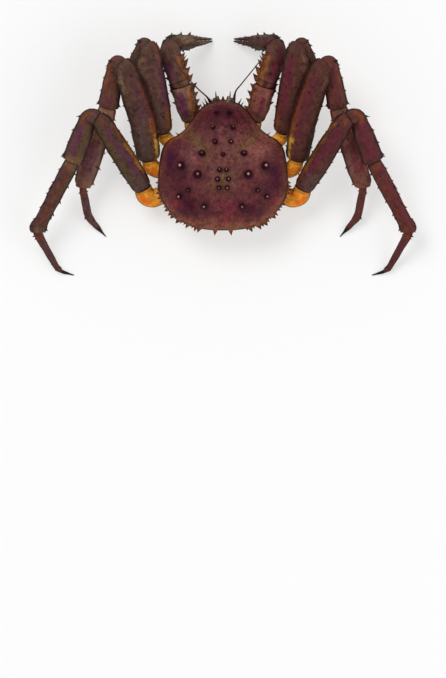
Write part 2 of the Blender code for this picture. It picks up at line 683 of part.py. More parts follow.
def rim_spines(chance):
    """Spines round the side and tail edges, longest at the tail, spaced evenly along the rim."""
    found = []
    rim = outline_points(CARAPACE_OUTLINE, RIM_STEPS)
    centre = Vector((0, CARAPACE_CENTRE_Y, 0))
    left = [p for p in rim if p.x > 0 and RIM_SPINE_FROM <= p.y <= RIM_SPINE_TO]
    left.sort(key=lambda p: math.atan2(p.y - centre.y, p.x))
    for i in range(RIM_SPINES):
        p = left[round(i * (len(left) - 1) / (RIM_SPINES - 1))]
        share = i / (RIM_SPINES - 1)
        for side in (LEFT, RIGHT):
            size = RIM_SPINE_SHORT + (RIM_SPINE_LONG - RIM_SPINE_SHORT) * share
            size *= chance.uniform(0.8, 1.2)
            out = (p - centre).normalized()
            foot = p - out * RIM_SPINE_SUNK
            root = Vector((side * foot.x, foot.y, chance.uniform(*RIM_SPINE_Z)))
            way = Vector((side * out.x, out.y, RIM_SPINE_TILT))
            found.append(cone(root, way, size * RIM_SPINE_WIDTH / 2, size + RIM_SPINE_SUNK))
    return found


def limb_seat(hip, heading, width):
    """The two ends of the flat on the thorax's side that a limb's root stands against."""
    out = heading_vector(heading, 0)
    along = Vector((-out.y, out.x, 0))
    middle = Vector((hip[0], hip[1], 0)) - out * JOINT_GAP
    half = width / 2 + SEAT_MARGIN
    return [middle - along * half, middle + along * half]


def thorax_shape():
    """An upright block whose side flats face the limbs and whose front flat carries the head pieces."""
    left = [Vector((FACE_HALF_WIDTH, FACE_Y + JOINT_GAP, 0))]
    for limb in (CLAW, LEGS["leg1"], LEGS["leg2"], LEGS["leg3"]):
        left += limb_seat(limb["hip"], limb["runs"][0][1], limb["sizes"]["coxa"][0])
    left += [Vector((x, y, 0)) for x, y in THORAX_TAIL]
    outline = left + [Vector((-p.x, p.y, 0)) for p in reversed(left)]
    centre = Vector((0, CARAPACE_CENTRE_Y, 0))
    rings = [
        [centre + (p - centre) * share + UP * z for p in outline]
        for share, z in (
            (THORAX_BOTTOM_SHARE, THORAX_BOTTOM_Z),
            (1.0, THORAX_WALL_Z),
            (1.0, THORAX_TOP_Z),
        )
    ]
    return loft(rings)


def abdomen_shape():
    """The tail flap: flat above, rounded below, with a groove at each plate's edge."""
    rings = []
    for k, (y, half) in enumerate(ABDOMEN_PLATES):
        seam = [(y, half * ABDOMEN_SEAM_SHARE, ABDOMEN_SEAM_DEPTH)]
        if k + 1 < len(ABDOMEN_PLATES):
            after_y, after_half = ABDOMEN_PLATES[k + 1]
            seam.append(((y + after_y) / 2, (half + after_half) / 2, ABDOMEN_DEPTH))
        for ring_y, width, depth in seam:
            ring = []
            for i in range(ABDOMEN_STEPS + 1):
                a = math.pi * i / ABDOMEN_STEPS
                drop = depth * math.sin(a) ** ABDOMEN_SQUARENESS
                ring.append(Vector((width * math.cos(a), ring_y, ABDOMEN_TOP_Z - drop)))
            rings.append(ring)
    return loft(rings)


def build_body():
    shell = Carapace()
    node("carapace", shell.shape(), "shell", carapace_spines(shell))
    node("thorax", thorax_shape(), "belly")
    node("abdomen", abdomen_shape(), "belly")


def build_limb(name, limb, rows, radius, side, last_end=None):
    """The segments of one limb, each in its own node, face to face across the joint gap."""
    path = limb_path(limb["hip"], limb["runs"], radius)
    start = 0.0
    for segment_name, corner in limb["ends"].items():
        end = path.corner_at[corner] if corner is not None else (last_end or path.length)
        closing = 0.0 if segment_name == "dactyl" else JOINT_GAP / 2
        opening = JOINT_GAP / 2 if start else 0.0
        girth = limb["girth"].get(segment_name, GIRTH[segment_name])
        spread = SPREAD.get(segment_name, NO_SPREAD)
        segment = Segment(
            path, start, end, limb["sizes"][segment_name], girth, SECTION_SIDES[segment_name],
            (opening, closing), spread, WINGS.get(f"{name}_{segment_name}", NO_SPREAD),
        )
        node_name = f"{name}_{segment_name}_{'left' if side == LEFT else 'right'}"
        chance = random.Random(node_name)
        spurs = SPURS.get(f"{name}_{segment_name}", ())
        spines = segment_spines(segment, rows[segment_name], spurs, chance)
        vertices, faces = loft(segment.rings())
        vertices = [Vector((v.x, v.y, max(v.z, 0.0))) for v in vertices]
        look = "joint" if segment_name == "coxa" else "leg"
        node(node_name, (vertices, faces), look, spines, side)
        start = end
    return path


def finger_shape(path, start, end, offset):
    """A claw finger: a tapering half of the claw, set to one side of its centre line."""
    finger = Segment(path, start, end, FINGER_SIZE, FINGER_GIRTH, FINGER_SIDES)
    rings = []
    for t in FINGER_STATIONS:
        across = finger.frame(t)[2]
        inward = offset * (1 - FINGER_CLOSING * t**FINGER_CLOSING_CURVE)
        turns = [360 * (i + 0.5) / FINGER_SIDES for i in range(FINGER_SIDES)]
        ring = [finger.rim_point(t, turn)[0] + across * inward for turn in turns]
        rings.append([Vector((p.x, p.y, max(p.z, 0.0))) for p in ring])
    return loft(rings)


def build_claw(side):
    where = "left" if side == LEFT else "right"
    path = limb_path(CLAW["hip"], CLAW["runs"], CLAW_RADIUS)
    wrist = path.corner_at[3] + WRIST_AFTER_CORNER
    build_limb("claw", CLAW, CLAW_SPINE_ROWS, CLAW_RADIUS, side, wrist)
    knuckle = wrist + (path.length - wrist) * KNUCKLE_SHARE
    palm = Segment(
        path, wrist, knuckle, CLAW["sizes"]["palm"], GIRTH["palm"], SECTION_SIDES["palm"],
        (JOINT_GAP / 2, 0.0),
    )
    chance = random.Random("palm " + where)
    extras = segment_spines(palm, CLAW_SPINE_ROWS["palm"], SPURS["claw_palm"], chance)
    extras.append(finger_shape(path, knuckle - FINGER_SUNK, path.length, -FINGER_SPREAD))
    node(f"claw_palm_{where}", loft(palm.rings()), "claw", extras, side)
    finger = finger_shape(path, knuckle + JOINT_GAP, path.length, FINGER_SPREAD)
    node(f"claw_finger_{where}", finger, "claw", (), side)


def build_head(side):
    where = "left" if side == LEFT else "right"
    root = Vector((EYE_ROOT[0], FACE_Y, EYE_ROOT[1]))
    tip = Vector(EYE_TIP)
    stalk = tube([root, root.lerp(tip, 0.55), tip], EYE_STALK_RADII, 8, 1)
    node(f"eye_{where}", stalk, "eye", [ball(tip, EYE_RADIUS)], side)
    node(
        f"antennule_{where}", tube([Vector(p) for p in ANTENNULE], ANTENNULE_RADII, 6, 2), "feeler",
        (), side,
    )
    node(
        f"maxilliped_{where}", tube([Vector(p) for p in MAXILLIPED], MAXILLIPED_RADII, 8, 2),
        "joint", (), side,
    )
    feeler = ANTENNA_LEFT if side == LEFT else ANTENNA_RIGHT
    points = [Vector(p) for p in (ANTENNA_ROOT, *feeler)]
    node(f"antenna_{where}", tube(points, ANTENNA_RADII, 6, 3), "feeler", (), side)


def ball(centre, radius, sides=8):
    """A closed ball of few faces."""
    rings = []
    for level in (-75, -40, 0, 40, 75):
        z, r = math.sin(math.radians(level)), math.cos(math.radians(level))
        rings.append(
            [centre + Vector((math.cos(2 * math.pi * i / sides) * r,
                              math.sin(2 * math.pi * i / sides) * r, z)) * radius
             for i in range(sides)]
        )
    return loft(rings)


def main():
    clear_scene()
    build_body()
    for side in (LEFT, RIGHT):
        build_head(side)
        build_claw(side)
        for name, limb in LEGS.items():
            build_limb(name, limb, SPINE_ROWS, CORNER_RADIUS, side)


main()
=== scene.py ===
"""Looks of the red king crab: fine shell meshes with their spines and paint, set round the fixed frame.

Sizes are in millimetres, on the frame's axes: +Z is up, the head faces -Y and the crab's left is +X.
Limbs are described for the left side and mirrored for the right one. The floor is z = 0.
"""

import math
import random

import bpy
import numpy as np
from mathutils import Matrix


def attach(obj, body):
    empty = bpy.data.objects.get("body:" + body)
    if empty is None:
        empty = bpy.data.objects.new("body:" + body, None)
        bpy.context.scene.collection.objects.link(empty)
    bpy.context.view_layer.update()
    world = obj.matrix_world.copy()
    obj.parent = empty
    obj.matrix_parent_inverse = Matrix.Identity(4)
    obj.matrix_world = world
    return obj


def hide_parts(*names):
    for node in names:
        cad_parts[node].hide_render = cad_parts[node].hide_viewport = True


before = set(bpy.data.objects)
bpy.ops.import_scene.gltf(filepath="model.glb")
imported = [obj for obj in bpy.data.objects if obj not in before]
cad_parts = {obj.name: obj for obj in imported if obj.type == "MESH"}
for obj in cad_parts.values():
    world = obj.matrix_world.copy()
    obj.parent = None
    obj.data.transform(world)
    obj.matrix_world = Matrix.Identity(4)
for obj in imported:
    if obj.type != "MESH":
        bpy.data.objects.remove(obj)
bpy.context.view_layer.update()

# The tables are in mm. The frame's origin is at y = MIDDLE_Y in them.
MM, MIDDLE_Y = 0.001, 1.3
LEFT, RIGHT = 1, -1
SIDE_NAMES = {LEFT: "left", RIGHT: "right"}
UP = np.array((0.0, 0.0, 1.0))

# Carapace, repeated from the solid: the outline is (y, half width), from the brow to the tail.
CARAPACE_OUTLINE = (
    (-76.0, 0.0), (-74.0, 10.0), (-69.5, 24.0), (-61.0, 34.0), (-46.5, 45.0), (-33.5, 54.5),
    (-25.0, 65.0), (-17.0, 78.5), (-5.0, 87.5), (16.0, 92.0), (46.0, 94.3), (62.0, 92.5),
    (76.0, 85.5), (90.0, 74.5), (101.0, 60.0), (108.5, 44.0), (112.5, 23.0), (113.5, 0.0),
)
CARAPACE_CENTRE_Y = 26.0
# Heights of its underside and rim, the dome's rise, the underside's share of the outline, and the powers
# that shape the dome.
CARAPACE_UNDERSIDE_Z, CARAPACE_RIM_Z, CARAPACE_DOME, CARAPACE_TUCK = 50.3, 60.0, 40.0, 0.86
DOME_STEEPNESS, DOME_ROUNDNESS = 2.4, 0.6
# Swellings over the organs: (x, y, width, length, height), mirrored where x isn't 0.
SWELLINGS = (
    (0.0, -32.0, 24.0, 24.0, 10.0),
    (0.0, 40.0, 20.0, 24.0, 6.0),
    (52.0, 30.0, 26.0, 40.0, 7.0),
)
# Grooves between the regions of the shell, left side: points (x, y), then depth and width.
GROOVES = (
    (((66, -30), (50, -27), (36, -15), (27, -3), (18, 9), (0, 16)), 1.5, 3.2),
    (((24, 4), (21, 22), (23, 40), (19, 60), (9, 72), (0, 75)), 1.0, 3.0),
    (((23, 40), (34, 58), (44, 80), (50, 96)), 0.6, 3.6),
    (((0, -66), (0, -48)), 0.9, 2.6),
)
# Spines of the back, left side, and the one on the middle line: (x, y, length).
BACK_SPINES = (
    (8.8, -56.5, 7.0), (13.8, -35.5, 6.0), (10.9, -15.5, 6.5), (30.7, 2.2, 7.0), (59.9, 20.3, 10.0),
    (36.8, 32.2, 9.5), (4.8, 25.8, 5.5), (7.7, 39.2, 5.5), (5.7, 51.5, 5.5), (50.0, 55.1, 6.0),
    (62.8, 63.8, 7.0), (27.4, 78.3, 7.5),
)
MIDDLE_SPINE = (0.0, 3.6, 5.5)
# Spines of the brow and the tail, left side: (x, y, length, heading, pitch).
BROW_SPINES = (
    (22.0, -68.5, 10.5, -60, 12), (25.0, -66.0, 8.5, -50, 8), (28.5, -63.0, 6.5, -44, 4),
    (15.5, -70.0, 7.0, -76, 18), (64.0, -24.5, 6.5, -35, 5),
)
TAIL_SPINE = (11.0, 111.0, 10.5, 84, 6)
# The rostrum's left horn and the beak between and below: points, and the radius at each.
ROSTRUM_HORN = ((4.5, -69.0, 65.0), (9.5, -78.0, 68.5), (10.6, -88.0, 72.0))
ROSTRUM_BEAK = ((0.0, -68.0, 62.0), (0.0, -75.0, 60.5), (0.0, -81.0, 56.0))
ROSTRUM_HORN_RADII, ROSTRUM_BEAK_RADII = (2.4, 1.4, 0.4), (4.0, 2.7, 0.6)
# Teeth of the rim: the y of the first and the last, their number a side, and the length at either end.
RIM_SPINE_FROM, RIM_SPINE_TO, RIM_SPINES = 44.0, 111.0, 19
RIM_SPINE_SHORT, RIM_SPINE_LONG = 3.2, 5.2

# Thorax, repeated from the solid: heights, the face, gaps, and the corners (x, y) behind the last leg.
THORAX_WALL_Z, THORAX_BOTTOM_Z, THORAX_BOTTOM_SHARE = 26.0, 20.0, 0.92
FACE_Y, FACE_HALF_WIDTH, ROOT_SUNK, JOINT_GAP = -61.0, 17.0, 3.0, 0.3
THORAX_TAIL = ((44.0, 92.0), (22.0, 99.0))
SEAT_MARGIN = 0.8
# Tail flap, repeated from the solid: (y, half width) of its plates, from the tail to the mouth.
ABDOMEN_PLATES = (
    (98.0, 35.0), (84.0, 37.0), (70.0, 34.0), (56.0, 29.0), (42.0, 24.0), (28.0, 19.0), (14.0, 13.0),
    (2.0, 5.0),
)
ABDOMEN_TOP_Z, ABDOMEN_DEPTH, ABDOMEN_ROWS, ABDOMEN_COLUMNS = 19.7, 9.0, 150, 60

# Limbs, repeated from the solids: stretches (length, heading, pitch), the corner where a segment ends,
# sizes (width, height), and girth where it isn't the usual one. The last pitch is worked out, to reach TIP_Z.
LEGS = {
    "leg1": {
        "hip": (58.0, -3.0, 36.0),
        "runs": ((29, -30, 0), (15, -71, 36), (154, -81, 28), (25, 48, -64), (58, 71, -38),
                 (97, 102, -24), (63, 99, None)),
        "ends": {"coxa": 1, "merus": 2, "carpus": 4, "propodus": 5, "dactyl": None},
        "sizes": {"coxa": (21, 21), "merus": (30, 24), "carpus": (23, 19), "propodus": (21, 17),
                  "dactyl": (10, 9)},
        "girth": {},
    },
    "leg2": {
        "hip": (72.5, 27.5, 36.0),
        "runs": ((30, -3, 0), (19, -73, 31), (61, -81, 30), (107, -71.5, 24.8), (26, 38, -63),
                 (65, 80, -16), (127, 72, -17.3), (54, 101, -33.6), (40, 132, None)),
        "ends": {"coxa": 1, "merus": 3, "carpus": 5, "propodus": 6, "dactyl": None},
        "sizes": {"coxa": (24, 22), "merus": (36, 25), "carpus": (27, 21), "propodus": (29, 18),
                  "dactyl": (12, 10)},
        "girth": {"dactyl": ((0, 0.86), (0.3, 0.92), (0.6, 0.9), (0.74, 0.66), (1, 0.14))},
    },
    "leg3": {
        "hip": (72.5, 56.5, 36.0),
        "runs": ((40, 21, 0), (22, -72, 27), (140, -58, 29.3), (23, 2, -52), (70, 70, -11.4),
                 (122, 62.5, -20.7), (75, 119.5, -28.6), (23.5, 164, None)),
        "ends": {"coxa": 1, "merus": 2, "carpus": 4, "propodus": 5, "dactyl": None},
        "sizes": {"coxa": (26, 22), "merus": (30, 24), "carpus": (29, 21), "propodus": (23, 17),
                  "dactyl": (12, 10)},
        "girth": {
            "coxa": ((0, 0.92), (0.35, 1.0), (0.75, 1.1), (1, 0.95)),
            "propodus": ((0, 0.84), (0.12, 0.93), (0.4, 0.92), (0.66, 0.87), (0.84, 0.86), (0.95, 1.05),
                         (1, 0.92)),
            "dactyl": ((0, 1.1), (0.12, 1.02), (0.4, 0.84), (0.72, 0.7), (0.82, 0.42), (1, 0.14)),
        },
    },
}
CLAW = {
    "hip": (34.8, -21.8, 34.0),
    "runs": ((17, -52, 0), (10, -79, 4), (61, -76, 31), (66, -69, 10), (102.5, -175, None)),
    "ends": {"coxa": 1, "merus": 2, "carpus": None},
    "sizes": {"coxa": (20, 19), "merus": (30, 24), "carpus": (29, 25), "palm": (23, 27)},
    "girth": {
        "merus": ((0, 0.66), (0.12, 0.8), (0.45, 1.0), (0.8, 1.0), (0.93, 0.86), (1, 0.74)),
        "carpus": ((0, 0.78), (0.15, 0.92), (0.45, 0.98), (0.8, 1.0), (1, 0.84)),
    },
}
# Corners of the legs' and claws' paths are arcs. They begin EASY_CORNER or more before the corner where
# there is room.
CORNER_RADIUS, EASY_CORNER, CLAW_RADIUS = 14.0, 10.0, 17.0
TIP_Z = 0.6
WRIST_AFTER_CORNER = 6.0
# Girth of a segment: (place along it from 0 to 1, share of its size).
GIRTH = {
    "coxa": ((0, 0.96), (0.35, 1.0), (0.7, 1.0), (1, 0.88)),
    "merus": ((0, 0.8), (0.07, 0.93), (0.3, 1.02), (0.6, 1.0), (0.84, 0.9), (0.93, 0.72), (1, 0.6)),
    "carpus": ((0, 0.66), (0.25, 0.78), (0.6, 0.97), (0.93, 1.04), (1, 0.96)),
    "propodus": ((0, 0.82), (0.12, 0.93), (0.4, 0.97), (0.75, 1.0), (0.93, 0.92), (1, 0.7)),
    "dactyl": ((0, 0.92), (0.12, 1.0), (0.45, 0.82), (0.72, 0.72), (0.82, 0.42), (1, 0.14)),
    "palm": ((0, 0.8), (0.2, 1.0), (0.5, 0.98), (0.8, 0.88), (1, 0.8)),
}
# How much wider across a segment is than its girth says: the knees are broad and shallow.
SPREAD = {
    "merus": ((0, 1.0), (0.75, 1.0), (1, 1.22)),
    "carpus": ((0, 1.12), (0.4, 1.04), (1, 1.0)),
}
NO_SPREAD = ((0, 1.0), (1, 1.0))
# How much further a segment reaches on its outer side, as a share of its half width.
WINGS = {
    "leg1_merus": ((0, 1.0), (0.42, 1.0), (0.62, 1.38), (0.78, 2.0), (0.88, 1.62), (0.95, 1.2), (1, 1.05)),
}
SECTION_SQUARENESS = 0.86
# Rows of spines: (angle round the limb, first and last place along it, number, length).
SPINE_ROWS = {
    "coxa": (),
    "merus": ((5, 0.12, 0.9, 6, 4.0), (178, 0.15, 0.6, 4, 4.0), (70, 0.2, 0.9, 5, 4.5),
              (115, 0.3, 0.85, 3, 4.0)),
    "carpus": ((178, 0.66, 0.93, 2, 5.0), (5, 0.25, 0.93, 4, 4.5), (95, 0.6, 0.92, 2, 4.5)),
    "propodus": ((178, 0.12, 0.93, 5, 4.5), (3, 0.15, 0.88, 5, 3.8), (90, 0.15, 0.85, 4, 3.8)),
    "dactyl": ((178, 0.1, 0.1, 1, 3.0), (5, 0.1, 0.1, 1, 3.0)),
}
CLAW_SPINE_ROWS = {
    "coxa": (),
    "merus": ((5, 0.3, 0.91, 4, 8.0), (60, 0.35, 0.91, 3, 5.0), (178, 0.6, 0.92, 2, 4.5)),
    "carpus": ((5, 0.12, 0.62, 4, 9.0), (95, 0.1, 0.8, 4, 6.0), (45, 0.2, 0.75, 3, 6.0),
               (178, 0.1, 0.8, 5, 5.0)),
    "palm": ((178, 0.15, 0.85, 3, 5.0), (120, 0.2, 0.85, 3, 4.5), (75, 0.25, 0.85, 3, 4.0),
             (5, 0.45, 0.8, 2, 3.5)),
}
# Single spurs at the knees and far ends: (place along, angle, lean along the limb, length, base radius).
SPURS = {
    "leg1_merus": ((0.96, -12, 2.7, 7.0, 1.4),),
    "leg1_carpus": ((0.13, 50, -0.9, 9.0, 3.2),),
    "leg2_carpus": ((0.16, 35, -0.9, 7.5, 3.0), (0.33, -28, 0.0, 4.5, 2.4), (0.96, -5, 0.8, 6.5, 1.8)),
    "leg2_propodus": ((0.71, 140, 0.0, 6.5, 1.6),),
    "leg2_dactyl": ((0.54, 35, 0.5, 5.0, 2.0),),
    "leg3_carpus": ((0.26, 0, 0.75, 7.5, 1.4), (0.96, 5, 1.0, 5.5, 2.0)),
    "leg3_propodus": ((0.37, 25, 3.0, 10.5, 2.0), (0.58, 40, 3.0, 14.5, 2.0), (0.74, 155, 1.5, 5.5, 1.9),
                      (0.93, 45, 0.75, 7.5, 2.0)),
    "leg3_dactyl": ((0.05, 35, -0.3, 6.0, 1.7), (0.7, 55, 0.0, 5.0, 1.4), (0.73, 145, 2.5, 4.0, 1.2)),
    "claw_merus": ((0.9, 40, 0.75, 10.0, 2.4),),
    "claw_carpus": ((0.08, -30, 0.0, 7.5, 2.6), (0.41, 40, 0.75, 12.0, 2.4), (0.51, -25, 0.5, 12.0, 2.2)),
    "claw_palm": ((0.11, 200, -0.25, 6.5, 2.4), (0.2, 200, 0.75, 8.0, 2.2)),
}
# Spines' slant along the limb, and their width and the spinules' radius as shares of the length. The fine
# ones are broader and, on the legs, shorter than the solid's by the factors below.
SPINE_LEAN, SPINE_WIDTH, SPINULE_RADIUS = 0.45, 0.75, 0.36
CLAW_SPINE_BREADTH, LEG_SPINE_BREADTH, LEG_SPINE_LENGTH = 1.35, 1.25, 0.85
# Claw fingers: (width, height), distance from the palm's line, the share of it lost at the tip, and the
# flatness of the inner side.
FINGER_SIZE, FINGER_SPREAD, FINGER_CLOSING, FINGER_FLATNESS = (7.8, 16.0), 4.0, 0.62, 0.86
FINGER_COLUMNS, FINGER_TEETH, FINGER_SPINULES = 44, 11, 14
FINGER_GIRTH = ((0, 1.08), (0.3, 0.9), (0.65, 0.64), (0.88, 0.42), (1, 0.25))
# Eye, feelers and mouthpart, left side: points from the face outwards, and the radius at each.
EYE_ROOT, EYE_TIP, EYE_RADIUS = (7.5, 44.0), (12.0, -75.0, 46.5), 3.9
ANTENNULE = ((3.2, FACE_Y, 36.0), (4.5, -70.0, 37.0), (6.0, -77.5, 43.0), (7.0, -81.5, 51.0))
ANTENNULE_RADII = (1.9, 1.7, 0.9, 0.4)
MAXILLIPED = ((7.6, FACE_Y, 27.5), (8.5, -71.0, 26.0), (9.0, -78.0, 18.0), (6.0, -74.0, 9.0))
MAXILLIPED_RADII = (4.0, 3.8, 3.0, 1.6)
ANTENNA_ROOT = (13.2, FACE_Y, 38.0)
ANTENNA_LEFT = ((18.0, -71.5, 41.0), (23.5, -80.0, 57.0), (36.0, -91.5, 83.0), (56.0, -113.0, 101.0),
                (74.0, -138.0, 110.0))
ANTENNA_RIGHT = ((15.5, -73.0, 41.0), (18.5, -88.0, 43.0), (27.0, -99.0, 43.5), (49.0, -126.0, 42.0),
                 (64.0, -144.0, 39.0))
ANTENNA_RADII = (3.3, 2.6, 1.2, 0.95, 0.75, 0.5)
EYE_BLACK, FEELER_BROWN = (0.006, 0.004, 0.004), (0.06, 0.02, 0.018)

# Small spines between the rows, for each mm of a segment or toe, and round a segment's far rim.
SPINULES_PER_MM, TOE_SPINULES_PER_MM, RIM_SPINULES = 0.42, 0.25, 10
# How uneven the rows are: in place along, in degrees round, and in length.
PLACE_JITTER, ANGLE_JITTER, LENGTH_JITTER = 0.012, 6, 0.15
# Where the dark horn of toes and fingers begins, and the half width from which limbs have their full relief.
TOE_HORN_FROM, FINGER_HORN_FROM, FULL_RELIEF_FROM = 0.76, 0.72, 9.0

# Fine mesh: steps along a limb and round it, and the joints between segments.
ROW_STEP, COLUMN_STEP = 0.95, 0.95
NECK_REACH, NECK_SHARE, SHOULDER = 6.0, 0.74, 3.0
LIP_RISE, LIP_WIDTH = 0.45, 1.3
# Rows that turn the rim of a segment inwards: (distance back from its end, loss of radius).
SOCKET_ROWS = ((0.25, 0.05), (0.02, 0.5), (0.0, 1.0), (0.5, 1.7), (1.8, 2.2), (5.0, 2.8))

# Colours, linear RGB. The left side leans to purple, the right one to maroon.
COLOURS = {
    "ochre": (0.80, 0.32, 0.030),
    "yellow": (0.85, 0.47, 0.08),
    "pale": (0.85, 0.56, 0.24),
    "orange": (0.27, 0.095, 0.020),
    "flame": (0.74, 0.13, 0.006),
    "red": (0.20, 0.038, 0.018),
    "ember": (0.24, 0.058, 0.014),
    "tan": (0.20, 0.11, 0.055),
    "sand": (0.25, 0.16, 0.09),
    "umber": (0.062, 0.032, 0.020),
    "cream": (0.66, 0.46, 0.25),
    "olive": (0.095, 0.062, 0.022),
    "slate": (0.098, 0.060, 0.054),
    "horn": (0.012, 0.008, 0.007),
    "dark": (0.026, 0.010, 0.011),
    "ivory": (0.72, 0.55, 0.36),
}
SIDE_COLOURS = {
    LEFT: {"body": (0.087, 0.042, 0.028), "shade": (0.116, 0.026, 0.066), "claw": (0.11, 0.060, 0.034)},
    RIGHT: {"body": (0.090, 0.031, 0.023), "shade": (0.130, 0.013, 0.036), "claw": (0.072, 0.032, 0.026)},
}
